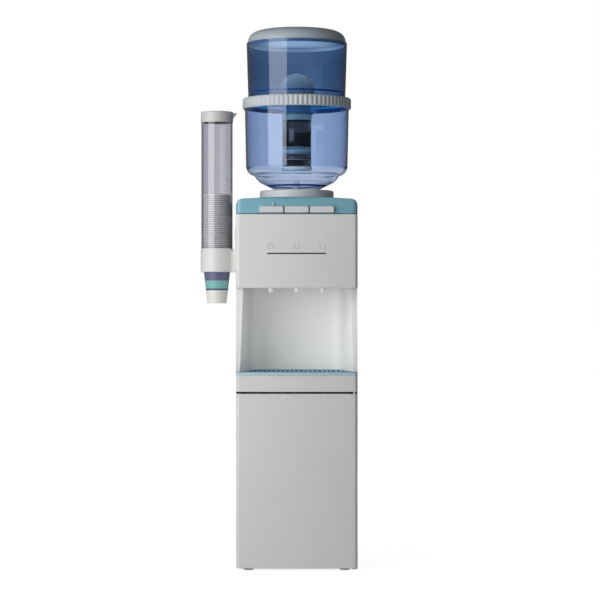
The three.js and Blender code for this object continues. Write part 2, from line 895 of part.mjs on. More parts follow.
function addDoorLiner(shellTop) {
  const half = halfWidth - skin - clearance;
  const low = doorBottom + skin + clearance;
  const high = shellTop - clearance;
  const plateY = doorBackY - doorLinerWall;
  const plate = block([-half, half], [plateY, doorBackY], [low, high]);
  const ribs = [];
  const inset = gasketInset + gasketWidth;
  const pitch = (high - low) / (doorRibCount + 1);
  for (let i = 1; i <= doorRibCount; i += 1) {
    const z = low + i * pitch;
    const along = [plateY - doorLinerRib, plateY + doorLinerWall / 2];
    ribs.push(block([-half + inset, half - inset], along, [z, z + doorLinerRib]));
  }
  const [under, over] = [doorBottom - overrun, doorTop + overrun];
  const clearOfBoss = post(hingeBossRadius + clearance, hingeX, hingeY, under, over);
  addPiece('door_liner', cut(joined(plate, ...ribs), clearOfBoss), 'white');
  const [front, back] = [doorBackY + clearance, zoneY - clearance];
  const edge = half - gasketInset;
  const [ringLow, ringHigh] = [low + 2 * gasketInset, high - gasketInset / 2];
  const ring = cut(
    block([-edge, edge], [front, back], [ringLow, ringHigh]),
    block(
      [-edge + gasketWidth, edge - gasketWidth],
      [front - overrun, back + overrun],
      [ringLow + gasketWidth, ringHigh - gasketWidth],
    ),
  );
  addPiece('door_gasket', ring, 'grey');
}

function addHingePins() {
  const [high, low] = [railBottom - clearance, doorTop - hingePinReach];
  const top = turned([
    [0, low],
    [hingePinRadius, low],
    [hingePinRadius, high - hingeFlange],
    [hingeBossRadius, high - hingeFlange],
    [hingeBossRadius, high],
    [0, high],
  ], hingeX, hingeY, smallSteps);
  addPiece('door_hinge_top', top, 'steel');
  const plate = block(
    [hingeX - hingeBossRadius, hingeX + hingeBossRadius],
    [hingeY - hingeBossRadius, zoneY],
    [footHeight, footHeight + hingePlate],
  );
  const pin = post(hingePinRadius, hingeX, hingeY, footHeight + hingePlate / 2, doorBottom + hingePinReach);
  addPiece('door_hinge_bottom', joined(plate, pin), 'steel');
}

// Front of the cabinet above the door

function addLowerRail() {
  const outer = frontBlock(0, railBottom, railTop);
  const hollow = frontBlock(skin, railBottom + skin, railTop - skin, zoneY + overrun);
  const grooveHigh = railTop - railGrooveDrop;
  const grooveSolid = frontBlock(-railGroove, grooveHigh - railGroove, grooveHigh);
  const core = frontBlock(railGroove, grooveHigh - railGroove - overrun, grooveHigh + overrun);
  const groove = cut(grooveSolid, core);
  addPiece('lower_rail', cut(outer, hollow, groove), 'white');
}

// Plan of the niche: flared cheeks, round corners and a bowed back wall. Positive offsets widen it.
function nichePlan(offset, fromY) {
  const mouth = halfWidth - cheekRimWidth + offset;
  const back = nicheBackHalf + offset;
  const cornerY = nicheBackY - nicheBackBow + offset;
  const flare = (mouth - back) / (cornerY - frontY);
  const startX = back + flare * (cornerY - fromY);
  const bendX = back + flare * nicheCorner;
  const shape = new THREE.Shape();
  shape.moveTo(-startX, fromY);
  shape.lineTo(-bendX, cornerY - nicheCorner);
  shape.quadraticCurveTo(-back, cornerY, -back + nicheCorner, cornerY);
  shape.quadraticCurveTo(0, cornerY + 2 * nicheBackBow, back - nicheCorner, cornerY);
  shape.quadraticCurveTo(back, cornerY, bendX, cornerY - nicheCorner);
  shape.lineTo(startX, fromY);
  return shape;
}

// Everything in front of the cheeks' sloping edge
function frontOfCheeks() {
  const slope = (cheekHeadY - cheekFootY) / (noseBottom - railTop);
  const low = linerFloor - overrun;
  const high = linerCeiling + linerWall + overrun;
  const wedge = outline([
    [frontY - overrun, railTop + clearance],
    [cheekFootY, railTop + clearance],
    [cheekFootY + slope * (high - railTop), high],
    [frontY - overrun, high],
  ]);
  const foot = outline([
    [frontY - overrun, low],
    [zoneY + clearance, low],
    [zoneY + clearance, railTop + clearance],
    [frontY - overrun, railTop + clearance],
  ]);
  const wide = halfWidth + overrun;
  return joined(sideways(wedge, -wide, wide), sideways(foot, -wide, wide));
}

function cheekRim() {
  const low = railTop + clearance;
  const rim = outline([
    [cheekFootY, low],
    [cheekFootY + cheekRimDepth, low],
    [cheekHeadY + cheekRimDepth, noseBottom - clearance],
    [cheekHeadY, noseBottom - clearance],
  ]);
  const inner = halfWidth - cheekRimInner;
  return joined(sideways(rim, inner, halfWidth), sideways(rim, -halfWidth, -inner));
}

function addNicheLiner() {
  const high = linerCeiling + linerWall;
  const outside = upright(nichePlan(linerWall, frontY - overrun), linerFloor, high);
  const inside = upright(nichePlan(0, frontY - 2 * overrun), linerFloorTop, linerCeiling);
  const walls = cut(outside, frontOfCheeks());
  const half = panelInnerX - clearance;
  const ceiling = block([-half, half], [zoneY + clearance, nicheBackY - nicheBackBow], [linerCeiling, high]);
  let liner = cut(joined(walls, cheekRim()), inside);
  liner = joined(liner, ceiling);
  for (const x of tapPlaces()) {
    const y = frontY + tapSetback;
    const hole = post(spoutRadius + clearance, x, y, linerCeiling - overrun, high + overrun);
    liner = cut(liner, hole);
  }
  addPiece('niche_liner', liner, 'white');
}

function addDripTray() {
  const rimLow = railTop + clearance;
  const panFront = zoneY + clearance + linerWall;
  const wide = [-cabinetWidth, cabinetWidth];
  const over = trayTop + overrun;
  const pan = cut(
    upright(nichePlan(-clearance, frontY), linerFloorTop + clearance, trayTop),
    block(wide, [frontY - overrun, panFront], [linerFloorTop - overrun, rimLow]),
  );
  const lip = cut(
    frontBlock(0, rimLow, trayTop),
    block(wide, [cheekFootY - clearance, rearY], [rimLow - overrun, over]),
  );
  const ledge = trayTop - grilleThickness - grilleDrop;
  const panIn = trayWall + clearance + trayLedge;
  const hollow = cut(
    upright(nichePlan(-panIn, frontY), linerFloorTop + clearance + trayWall, over),
    block(wide, [frontY - overrun, panFront + trayWall], [linerFloorTop, over + overrun]),
  );
  const seat = cut(
    upright(nichePlan(-clearance - trayWall, frontY), ledge, over),
    block(wide, [frontY - overrun, cheekFootY], [linerFloorTop, over + overrun]),
  );
  const clipped = upright(nichePlan(overrun, frontY - overrun), linerFloor, over);
  const front = frontBlock(0, linerFloor, over, nicheBackY);
  const whole = joined(pan.intersect(front), joined(lip, pan.intersect(clipped).intersect(front)));
  addPiece('drip_tray', cut(whole, hollow, seat), 'blue');
}

function addDripGrille() {
  const low = trayTop - grilleThickness - grilleDrop + clearance;
  const high = low + grilleThickness;
  const through = [low - overrun, high + overrun];
  const inset = clearance + trayWall + clearance;
  const front = cheekFootY + clearance;
  const frontCut = block([-cabinetWidth, cabinetWidth], [frontY - overrun, front], through);
  const plate = cut(upright(nichePlan(-inset, frontY), low, high), frontCut);
  const field = upright(nichePlan(-inset - grilleFrame, frontY), ...through);
  const start = front + grilleFrame;
  const middle = (start + nicheBackY) / 2;
  const pitch = grilleBar + grilleSlot;
  const reach = halfWidth - cheekRimWidth - inset - grilleFrame - grilleSlot;
  const sideCount = Math.floor(reach / pitch);
  const slots = [];
  for (let i = -sideCount; i <= sideCount; i += 1) {
    const across = [i * pitch - grilleSlot / 2, i * pitch + grilleSlot / 2];
    slots.push(block(across, [start, middle - grilleBar / 2], through));
    slots.push(block(across, [middle + grilleBar / 2, nicheBackY], through));
  }
  addPiece('drip_grille', cut(plate, joined(...slots).intersect(field)), 'blue');
}

function tapPlaces() {
  return [-tapPitch, 0, tapPitch];
}

function addNose() {
  const outer = frontBlock(0, noseBottom, noseTop);
  const hollow = frontBlock(skin, noseBottom + skin, noseTop - skin, zoneY + overrun);
  let nose = cut(outer, hollow);
  const lensZ = noseTop - lensDrop;
  const lensNames = ['lens_hot', 'lens_normal', 'lens_cold'];
  tapPlaces().forEach((x, i) => {
    const face = frontAt(x);
    nose = cut(nose, barrel(lensRadius + clearance, frontY - overrun, face + skin + overrun, x, lensZ));
    addPiece(lensNames[i], barrel(lensRadius, face - lensProud, face + skin, x, lensZ), 'lens');
  });
  const stripZ = noseTop - stripDrop;
  const [low, high] = [stripZ - stripHeight / 2, stripZ + stripHeight / 2];
  const groove = block([-stripWidth / 2, stripWidth / 2], [frontY - overrun, zoneY], [low, high]);
  const behind = frontBlock(stripDepth, noseBottom - overrun, noseTop + overrun);
  addPiece('nose_panel', cut(nose, cut(groove, behind)), 'white');
  const half = stripWidth / 2 - clearance;
  const stripBlock = block([-half, half], [frontY - overrun, zoneY], [low + clearance, high - clearance]);
  const sunk = frontBlock(stripSunk, noseBottom, noseTop);
  const backed = frontBlock(stripDepth - clearance, noseBottom - overrun, noseTop + overrun);
  addPiece('accent_strip', cut(stripBlock.intersect(sunk), backed), 'dark');
}

function addTaps() {
  const names = ['tap_hot', 'tap_normal', 'tap_cold'];
  const y = frontY + tapSetback;
  const flangeLow = linerCeiling + linerWall + clearance;
  const tip = linerCeiling - spoutDrop;
  const top = flangeLow + tapFlangeHeight + tapBodyHeight;
  const inletZ = flangeLow + tapFlangeHeight + tapBodyHeight * tapInletShare;
  const jacketY = y + tapFlangeRadius + jacketFront;
  tapPlaces().forEach((x, i) => {
    const spout = turned([
      [spoutBore, tip],
      [spoutRadius - clearance, tip],
      [spoutRadius, tip + spoutBore],
      [spoutRadius, flangeLow],
      [tapFlangeRadius, flangeLow],
      [tapFlangeRadius, flangeLow + tapFlangeHeight],
      [tapBodyRadius, flangeLow + tapFlangeHeight],
      [tapBodyRadius, top],
      [0, top],
      [0, flangeLow],
      [spoutBore, flangeLow],
      [spoutBore, tip],
    ], x, y, smallSteps);
    const inlet = barrel(tapInletRadius, y, jacketY - clearance, x, inletZ, fewSteps);
    addPiece(names[i], joined(spout, inlet), 'white');
  });
}

// Top cover with its keys and lock

function coverPlan(inset) {
  const half = halfWidth - inset;
  const middle = frontY + inset;
  const side = middle + frontBow;
  const back = rearY - inset;
  const corner = Math.max(coverRadius - inset, skin);
  const shape = new THREE.Shape();
  shape.moveTo(-half, back - corner);
  shape.lineTo(-half, side + corner);
  shape.quadraticCurveTo(-half, side, -half + corner, side);
  shape.quadraticCurveTo(0, middle - frontBow, half - corner, side);
  shape.quadraticCurveTo(half, side, half, side + corner);
  shape.lineTo(half, back - corner);
  shape.quadraticCurveTo(half, back, half - corner, back);
  shape.lineTo(-half + corner, back);
  shape.quadraticCurveTo(-half, back, -half, back - corner);
  return shape;
}

// The space under the crowned top, seen from the front and from the side
function crownSpace(inset, low) {
  const half = halfWidth - inset;
  const side = coverSideTop - inset;
  const front = new THREE.Shape();
  front.moveTo(-half, low);
  front.lineTo(-half, side - coverCorner);
  front.quadraticCurveTo(-half, side, -half + coverCorner, side);
  front.quadraticCurveTo(0, side + 2 * coverCrown, half - coverCorner, side);
  front.quadraticCurveTo(half, side, half, side - coverCorner);
  front.lineTo(half, low);
  const high = coverTop - inset;
  const [near, far] = [frontY + inset, rearY - inset];
  const profile = new THREE.Shape();
  profile.moveTo(near, low);
  profile.lineTo(near, high - coverEdge - coverCrown);
  profile.quadraticCurveTo(near, high, near + coverEdge, high);
  profile.lineTo(far - coverEdge, high);
  profile.quadraticCurveTo(far, high, far, high - coverEdge - coverCrown);
  profile.lineTo(far, low);
  return backwards(front, near, far).intersect(sideways(profile, -half, half));
}

function coverSolid(inset, low) {
  return upright(coverPlan(inset), low, coverTop + overrun).intersect(crownSpace(inset, low));
}

function keyRange() {
  const low = coverBottom + keyLip;
  return [low, low + keyHeight];
}

function keyPlaces() {
  return [-(keyWidth + keyGap), 0, keyWidth + keyGap];
}

function addTopCover() {
  const [keyLow, keyHigh] = keyRange();
  const body = coverSolid(0, coverBottom);
  const skirt = upright(coverPlan(seamSunk), noseTop, coverBottom + overrun);
  let cover = joined(body, skirt);
  cover = cut(cover, coverSolid(skin, noseTop - overrun));
  const keysHalf = keyPlaces()[2] + keyWidth / 2 + keyPlay;
  const ribFront = frontAt(keyPlaces()[2]) - keyProud + keyDepth + keyTravel + keyPlay;
  const rib = block([-keysHalf, keysHalf], [ribFront, ribFront + keyRib], [keyLow, coverTop]);
  cover = joined(cover, rib.intersect(coverSolid(skin / 2, noseTop)));
  const opening = block(
    [-keysHalf, keysHalf],
    [frontY - overrun, frontY + frontBow + skin],
    [keyLow - keyPlay, keyHigh + keyPlay],
  );
  const hole = post(collarRadius * collarHoleShare, 0, 0, coverBottom, coverTop + overrun, roundSteps);
  cover = cut(cover, opening, hole, lockGroove());
  addPiece('top_cover', cover, 'blue');
}

function lockPlace() {
  const [, keyHigh] = keyRange();
  const left = keyPlaces()[0] - keyWidth / 2 + lockFromKeyEnd;
  const low = keyHigh + keyPlay + lockAboveKey;
  return { left, low, face: frontAt(left) };
}

function lockGroove() {
  const { left, low, face } = lockPlace();
  return block(
    [left - clearance, left + lockWidth + lockTravel + clearance],
    [frontY - overrun, face + lockSunk + clearance],
    [low - clearance, low + lockHeight + clearance],
  );
}

function addKeys() {
  const names = ['key_hot', 'key_normal', 'key_cold'];
  const [low, high] = keyRange();
  keyPlaces().forEach((x, i) => {
    const front = frontAt(x) - keyProud;
    const face = roundedOutline([x - keyWidth / 2, x + keyWidth / 2], [low, high], keyCorner);
    const body = backwards(face, front, front + keyDepth, keyBevel);
    const catchFront = frontY + frontBow + skin + clearance;
    const tab = block(
      [x - keyWidth / 2 + keyBevel, x + keyWidth / 2 - keyBevel],
      [catchFront, front + keyDepth - keyBevel],
      [high - keyBevel, high + keyCatch],
    );
    addPiece(names[i], joined(body, tab), 'grey');
  });
}

function addChildLock() {
  const { left, low, face } = lockPlace();
  const shape = roundedOutline([left, left + lockWidth], [low, low + lockHeight], lockCorner);
  addPiece('child_lock', backwards(shape, face - lockProud, face + lockSunk), 'white');
}

// Bottle collar, spike and the bottle

const coneTop = coverTop + coneAboveCover + coneHeight;
const coneBottom = coneTop - coneHeight;
const neckBottom = coneBottom - neckHeight;
const stepTop = coneTop + stepHeight;
const ledgeTop = stepTop + ledgeHeight;
const tankFootTop = ledgeTop + tankFootHeight;
const lowerTankTop = tankFootTop + lowerTankHeight;
const coneSlope = coneHeight / (coneRadius - neckRadius);
const wellRadius = neckRadius + collarWall;
const wellFloor = neckBottom - spikeFlange - 2 * clearance;

function coneUnder(radius) {
  return coneBottom + (radius - neckRadius) * coneSlope - clearance * Math.hypot(1, coneSlope);
}

function addBottleCollar() {
  const top = coverTop + collarHeight;
  const base = coverSideTop - overrun;
  const inner = collarRadius - collarWall;
  const floorLow = wellFloor - collarWall;
  const funnelTop = coneUnder(funnelRadius);
  const profile = pathPoints((path) => {
    path.moveTo(collarRadius, base);
    path.lineTo(collarRadius, top - collarEdge);
    path.quadraticCurveTo(collarRadius, top, collarRadius - collarEdge, top);
    path.lineTo(funnelRadius + collarEdge, top);
    path.lineTo(funnelRadius, funnelTop);
    path.lineTo(wellRadius, coneUnder(wellRadius));
    path.lineTo(wellRadius, wellFloor);
    path.lineTo(spikeStemRadius + clearance, wellFloor);
    path.lineTo(spikeStemRadius + clearance, floorLow);
    path.lineTo(wellRadius + collarWall, floorLow);
    path.lineTo(wellRadius + collarWall, coneUnder(wellRadius) - collarWall);
    path.lineTo(funnelRadius, funnelTop - 2 * collarWall);
    path.lineTo(inner, top - 2 * collarWall);
    path.lineTo(inner, base);
    path.lineTo(collarRadius, base);
  });
  const seat = coverSolid(-clearance, coverBottom);
  const seatRing = cut(
    post(collarRadius + overrun, 0, 0, base - overrun, coverTop + overrun, roundSteps),
    post(inner - collarWall, 0, 0, base - 2 * overrun, coverTop + 2 * overrun, roundSteps),
  );
  addPiece('bottle_collar', cut(turned(profile), seat.intersect(seatRing)), 'grey');
}

function addFeedSpike() {
  const low = wellFloor + clearance;
  const tankTop = linerCeiling + linerWall + clearance + jacketHeight;
  const top = low + spikeHeight;
  const profile = [
    [spikeBore, tankTop + clearance],
    [spikeStemRadius, tankTop + clearance],
    [spikeStemRadius, low],
    [spikeFlangeRadius, low],
    [spikeFlangeRadius, low + spikeFlange],
    [spikeRadius, low + spikeFlange],
    [spikeRadius, top - spikeTip],
    [spikeBore + clearance, top],
    [spikeBore, top],
  ];
  addPiece('feed_spike', turned(closedRing(profile), 0, 0, smallSteps), 'white');
}

function addLowerTank() {
  const outside = pathPoints((path) => {
    path.moveTo(neckRadius, neckBottom);
    path.lineTo(neckRadius, coneBottom);
    path.lineTo(coneRadius, coneTop);
    path.lineTo(stepRadius, stepTop);
    path.lineTo(ledgeRadius, ledgeTop);
    const bendZ = ledgeTop + tankFootHeight * footCurveShare;
    path.quadraticCurveTo(footCurveRadius, bendZ, tankFootRadius, tankFootTop);
    path.lineTo(lowerTankRadius, lowerTankTop);
  });
  addPiece('lower_tank', turned(shellProfile(outside, bottleWall)), 'clearBlue');
}

const ringLow = lowerTankTop - ringOverlap;
const ringTop = ringLow + ringHeight;
const ringWebLow = lowerTankTop + clearance;
const ringWebTop = ringWebLow + ringWebWall;
const upperTankLow = ringWebTop + clearance;
const upperTankTop = upperTankLow + upperTankHeight;

function ribOutline() {
  const pitch = 2 * Math.PI / ribCount;
  const root = ringRadius - ribDepth;
  const points = [];
  for (let i = 0; i < ribCount; i += 1) {
    const middle = i * pitch;
    const crest = pitch * ribCrestShare / 2;
    const corners = [[ringRadius, -crest], [ringRadius, crest], [root, pitch / 2]];
    for (const [radius, angle] of corners) {
      points.push([radius * Math.cos(middle + angle), radius * Math.sin(middle + angle)]);
    }
  }
  return outline(points);
}

// The ribs taper away at both edges of the ring
function ribEnd(edge, way) {
  const wide = ringRadius + overrun;
  const root = ringRadius - ribDepth;
  const slope = wide - root;
  return turned(closedRing([
    [root, edge],
    [wide, edge + way * slope],
    [wide, edge - way * overrun],
    [root, edge - way * overrun],
  ]), 0, 0, ribCount);
}

function addCouplingRing() {
  const lowerBore = post(lowerTankRadius + ringPlay, 0, 0, ringLow - overrun, ringWebLow, roundSteps);
  const upperBore = post(upperFootRadius + ringPlay, 0, 0, ringWebTop, ringTop + overrun, roundSteps);
  const webHole = post(ringWebInner, 0, 0, ringWebLow - overrun, ringWebTop + overrun, roundSteps);
  const ribbed = upright(ribOutline(), ringLow, ringTop);
  const ring = cut(ribbed, ribEnd(ringLow, 1), ribEnd(ringTop, -1), lowerBore, upperBore, webHole);
  addPiece('coupling_ring', ring, 'grey');
}

function addUpperTank() {
  const footX = upperFootRadius - upperFootCurve;
  const outside = pathPoints((path) => {
    path.moveTo(stemHoleRadius, upperTankLow);
    path.lineTo(footX, upperTankLow);
    path.quadraticCurveTo(upperFootRadius, upperTankLow, upperFootRadius, upperTankLow + upperFootCurve);
    path.lineTo(upperRimRadius, upperTankTop);
  });
  addPiece('upper_tank', turned(shellProfile(outside, bottleWall)), 'clearBlue');
}

function addTankLid() {
  const low = upperTankTop + clearance;
  const top = low + lidHeight;
  const rise = lidHeight;
  const shoulder = low + lidFlange;
  const crownZ = low + rise * lidCrownHeightShare;
  const flangeRadius = upperRimRadius - lidFlangeOver;
  const skirtRadius = upperRimRadius - bottleWall - 2 * clearance;
  const skirtInner = skirtRadius - bottleWall;
  const dome = (path, inset) => {
    const crownRadius = lidShoulderRadius * lidCrownRadiusShare;
    const bendZ = low + rise * lidCurveHeightShare - inset;
    const bendRadius = lidShoulderRadius * lidCurveRadiusShare - inset;
    path.quadraticCurveTo(bendRadius, bendZ, crownRadius, crownZ - inset);
    path.quadraticCurveTo(crownRadius / 2, top - inset, 0, top - inset);
  };
  const outside = pathPoints((path) => {
    path.moveTo(skirtRadius, low);
    path.lineTo(flangeRadius, low);
    path.lineTo(flangeRadius, shoulder);
    path.lineTo(lidShoulderRadius, shoulder);
    dome(path, 0);
  });
  const inside = pathPoints((path) => {
    path.moveTo(skirtRadius, low - lidSkirt);
    path.lineTo(skirtInner, low - lidSkirt);
    path.lineTo(skirtInner, shoulder);
    dome(path, bottleWall);
  });
  const lid = turned([...outside, ...inside.reverse(), outside[0]]);
  addPiece('tank_lid', lid, 'grey');
}

function addDomeAndCartridge() {
  const floorTop = upperTankLow + bottleWall + clearance;
  const baseTop = floorTop + domeBaseHeight;
  const top = floorTop + domeHeight;
  const dome = pathPoints((path) => {
    path.moveTo(0, upperTankLow - domeStemReach);
    path.lineTo(domeStemRadius, upperTankLow - domeStemReach);
    path.lineTo(domeStemRadius, floorTop);
    path.lineTo(domeBaseRadius, floorTop);
    path.lineTo(domeBaseRadius, baseTop);
    path.lineTo(domeRadius, baseTop);
    path.lineTo(domeRadius, top - domeRadius);
    path.absarc(0, top - domeRadius, domeRadius, 0, Math.PI / 2);
  });
  addPiece('ceramic_dome', turned(dome, 0, 0, tubSteps), 'ceramic');
  addCartridge();
}

function addCartridge() {
  const steps = tubSteps;
  const headTop = ringLow - headTopBelowRing;
  const headLow = headTop - headHeight;
  const bossTop = upperTankLow - clearance;
  const socket = upperTankLow - domeStemReach - clearance;
  const head = turned([
    [0, headLow],
    [cartridgeRadius, headLow],
    [cartridgeRadius, headTop - headEdge],
    [cartridgeRadius - headEdge, headTop],
    [headBossRadius, headTop],
    [headBossRadius, bossTop],
    [domeStemRadius + clearance, bossTop],
    [domeStemRadius + clearance, socket],
    [0, socket],
  ], 0, 0, steps);
  const lugLow = headTop - headEdge;
  const lug = block(
    [0, cartridgeRadius + headLug],
    [-headLugWidth / 2, headLugWidth / 2],
    [lugLow, lugLow + headLugHeight],
  );
  addPiece('cartridge_head', joined(head, lug), 'grey');
  const bodyTop = headLow - clearance;
  const bodyLow = bodyTop - cartridgeBodyHeight;
  const radius = cartridgeBodyRadius;
  const bands = [];
  for (const share of bandLowShares) {
    const z = bodyLow + cartridgeBodyHeight * share;
    bands.push([radius, z], [radius + bandProud, z + bandProud], [radius, z + 2 * bandProud]);
  }
  const profile = [[0, bodyLow], [radius, bodyLow], ...bands, [radius, bodyTop], [0, bodyTop]];
  addPiece('cartridge_body', turned(profile, 0, 0, steps), 'black');
  const baseTop = bodyLow - clearance;
  const baseLow = baseTop - cartridgeBaseHeight;
  const base = pathPoints((path) => {
    path.moveTo(0, baseLow);
    path.lineTo(cartridgeBaseRadius - cartridgeBaseCurve, baseLow);
    path.quadraticCurveTo(cartridgeBaseRadius, baseLow, cartridgeBaseRadius, baseLow + cartridgeBaseCurve);
    path.lineTo(cartridgeBaseRadius, baseTop);
    path.lineTo(0, baseTop);
  });
  addPiece('cartridge_base', turned(base, 0, 0, steps), 'grey');
}

// Cup dispenser

const housingBore = cupTubeRadius - cupTubeWall;
const housingRadius = cupTubeRadius + housingWall;
const cupX = -(halfWidth + cupPlateThickness + armGap + housingRadius);
const cupY = frontY + cupAxisFromFront;
const housingTop = cupPlateBottom + housingHeight;
const tubeLow = housingTop - housingSocket + clearance;
const tubeTop = tubeLow + cupTubeLength;
const cupFootZ = cupPlateBottom - cupDropBelowHousing;
const cupRimZ = cupFootZ + cupHeight;

function sleeve(inner, outer, low, high) {
  const profile = closedRing([[inner, low], [outer, low], [outer, high], [inner, high]]);
  return turned(profile, cupX, cupY, cupSteps);
}

function addCupHolder() {
  const plateShape = roundedOutline(
    [cupY - cupPlateWidth / 2, cupY + cupPlateWidth / 2],
    [cupPlateBottom, cupPlateBottom + cupPlateHeight],
    cupPlateCorner,
  );
  const plateLeft = -halfWidth - cupPlateThickness;
  addPiece('cup_wall_plate', sideways(plateShape, plateLeft, -halfWidth - clearance), 'white');
  const round = pathPoints((path) => {
    path.moveTo(0, cupPlateBottom);
    path.lineTo(housingRadius - housingEdge, cupPlateBottom);
    path.quadraticCurveTo(housingRadius, cupPlateBottom, housingRadius, cupPlateBottom + housingEdge);
    path.lineTo(housingRadius, housingTop);
    path.lineTo(0, housingTop);
  });
  const arm = block(
    [cupX, plateLeft - clearance],
    [cupY - armWidth / 2, cupY + armWidth / 2],
    [cupPlateBottom + clearance, cupPlateBottom + armHeight],
  );
  const bore = post(housingBore, cupX, cupY, cupPlateBottom - overrun, housingTop + overrun, cupSteps);
  const seat = housingTop - housingSocket;
  const socket = post(cupTubeRadius + clearance, cupX, cupY, seat, housingTop + overrun, cupSteps);
  addPiece('cup_housing', cut(joined(turned(round, cupX, cupY, cupSteps), arm), bore, socket), 'white');
  const inner = cupTubeRadius - cupTubeWall;
  addPiece('cup_tube', sleeve(inner, cupTubeRadius, tubeLow, tubeTop), 'clear');
  const [low, high] = [cupPlateBottom + clearance, cupRimZ + cupRimRoll];
  const ring = sleeve(cupRimRadius + clearance, housingBore - clearance, low, high);
  addPiece('cup_release_ring', ring, 'grey');
}

function addCupLid() {
  const bore = cupTubeRadius + clearance;
  const outer = bore + cupLidWall;
  const top = tubeTop + clearance + cupLidWall;
  const low = top - cupLidHeight;
  const profile = pathPoints((path) => {
    path.moveTo(bore, low);
    path.lineTo(outer, low);
    path.lineTo(outer, top - cupLidCrown);
    path.quadraticCurveTo(outer, top, outer - cupLidCrown, top);
    path.lineTo(0, top + cupLidCrown / 2);
    path.lineTo(0, top - cupLidWall);
    path.lineTo(bore, top - cupLidWall);
    path.lineTo(bore, low);
  });
  const tabTop = top - cupLidCrown;
  const inside = cupX + bore + cupLidWall / 2;
  const reach = cupX + outer + cupLidTabReach;
  const gusset = outline([
    [inside, tabTop],
    [reach, tabTop],
    [reach, tabTop - cupLidTabThickness],
    [inside, tabTop - cupLidTabDrop],
  ]);
  const tab = backwards(gusset, cupY - cupLidTabWidth / 2, cupY + cupLidTabWidth / 2);
  const clear = post(bore, cupX, cupY, low - overrun, top - cupLidWall, cupSteps);
  addPiece('cup_tube_lid', joined(turned(profile, cupX, cupY, cupSteps), cut(tab, clear)), 'white');
}

function addCups() {
  const taper = (cupMouthRadius - cupFootRadius) / cupHeight;
  const cup = [
    [0, cupFootZ],
    [cupFootRadius, cupFootZ],
    [cupMouthRadius, cupRimZ - cupRimRoll],
    [cupRimRadius, cupRimZ - cupRimRoll],
    [cupRimRadius, cupRimZ],
    [cupMouthRadius - cupWall, cupRimZ],
    [cupFootRadius - cupWall, cupFootZ + cupWall],
    [0, cupFootZ + cupWall],
  ];
  addPiece('next_cup', turned(cup, cupX, cupY, cupSteps), 'cup');
  const footZ = cupFootZ + nestLift;
  const firstRim = cupRimZ + nestLift;
  const waist = cupMouthRadius - (nestPitch - cupRimRoll) * taper;
  const outside = [[0, footZ], [cupFootRadius, footZ], [waist, firstRim - nestPitch]];
  for (let i = 0; i < nestCount; i += 1) {
    const rim = firstRim + i * nestPitch;
    if (i > 0) outside.push([waist, rim - cupRimRoll]);
    outside.push([cupRimRadius, rim - cupRimRoll / 2]);
  }
  const topRim = firstRim + (nestCount - 1) * nestPitch;
  const topFoot = topRim - cupHeight;
  outside.push([cupMouthRadius - cupWall, topRim]);
  outside.push([cupFootRadius - cupWall, topFoot + cupWall]);
  outside.push([0, topFoot + cupWall]);
  addPiece('cup_stack', turned(outside, cupX, cupY, nestSteps), 'cup');
}

addFeet();
addBasePan();
addSidePanels();
addRearCover();
addRockers();
addInletAndDrain();
addCondenser();
addCompressor();
addColdTank();
addHotTank();
addStorageLiner();
addDoorMagnet();
addDoor();
addLowerRail();
addNicheLiner();
addDripTray();
addDripGrille();
addNose();
addTaps();
addTopCover();
addKeys();
addChildLock();
addBottleCollar();
addFeedSpike();
addLowerTank();
addCouplingRing();
addUpperTank();
addTankLid();
addDomeAndCartridge();
addCupHolder();
addCupLid();
addCups();

// The origin moves under the middle of the overall box
const leftmost = cupX - housingRadius;
const rearmost = condenserY + condenserTube;
const frontmost = frontY - keyProud;
cooler.position.set(-(leftmost + halfWidth) / 2, -(frontmost + rearmost) / 2, 0);

export default cooler;
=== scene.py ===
import json
import math
import bpy
import bmesh
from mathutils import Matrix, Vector


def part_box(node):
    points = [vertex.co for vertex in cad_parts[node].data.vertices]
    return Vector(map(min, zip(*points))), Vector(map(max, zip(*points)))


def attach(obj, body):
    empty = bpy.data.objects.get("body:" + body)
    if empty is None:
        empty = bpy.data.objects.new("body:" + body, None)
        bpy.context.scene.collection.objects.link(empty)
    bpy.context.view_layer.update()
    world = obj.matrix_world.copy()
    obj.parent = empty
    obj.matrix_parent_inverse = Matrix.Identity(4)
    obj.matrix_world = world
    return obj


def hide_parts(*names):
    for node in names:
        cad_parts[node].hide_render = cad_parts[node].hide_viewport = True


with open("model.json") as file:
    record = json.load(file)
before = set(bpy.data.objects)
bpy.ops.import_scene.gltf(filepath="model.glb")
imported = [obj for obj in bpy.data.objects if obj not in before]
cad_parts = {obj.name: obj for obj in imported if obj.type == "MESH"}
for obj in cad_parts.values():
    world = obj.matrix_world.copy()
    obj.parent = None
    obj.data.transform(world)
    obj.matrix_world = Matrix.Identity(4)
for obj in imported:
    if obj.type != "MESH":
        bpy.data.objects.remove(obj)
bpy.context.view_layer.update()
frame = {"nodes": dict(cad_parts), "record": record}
scene = bpy.context.scene
scene.view_settings.view_transform = "Standard"
mm = 0.001


# Where a node is, in millimetres: its axis, half its width, its height above the floor and its sides
def placeOf(node):
    low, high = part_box(node)
    return {
        "x": (low.x + high.x) / 2 / mm,
        "y": (low.y + high.y) / 2 / mm,
        "radius": (high.x - low.x) / 2 / mm,
        "low": low.z / mm,
        "high": high.z / mm,
        "front": low.y / mm,
        "back": high.y / mm,
        "left": low.x / mm,
        "right": high.x / mm,
    }


bottleAxis = (placeOf("bottle_collar")["x"], placeOf("bottle_collar")["y"])
cupAxis = (placeOf("cup_tube")["x"], placeOf("cup_tube")["y"])
door = placeOf("door_shell")


def hexColour(code):
    channels = [int(code[i:i + 2], 16) / 255 for i in (0, 2, 4)]
    return [c / 12.92 if c <= 0.04045 else ((c + 0.055) / 1.055) ** 2.4 for c in channels] + [1.0]


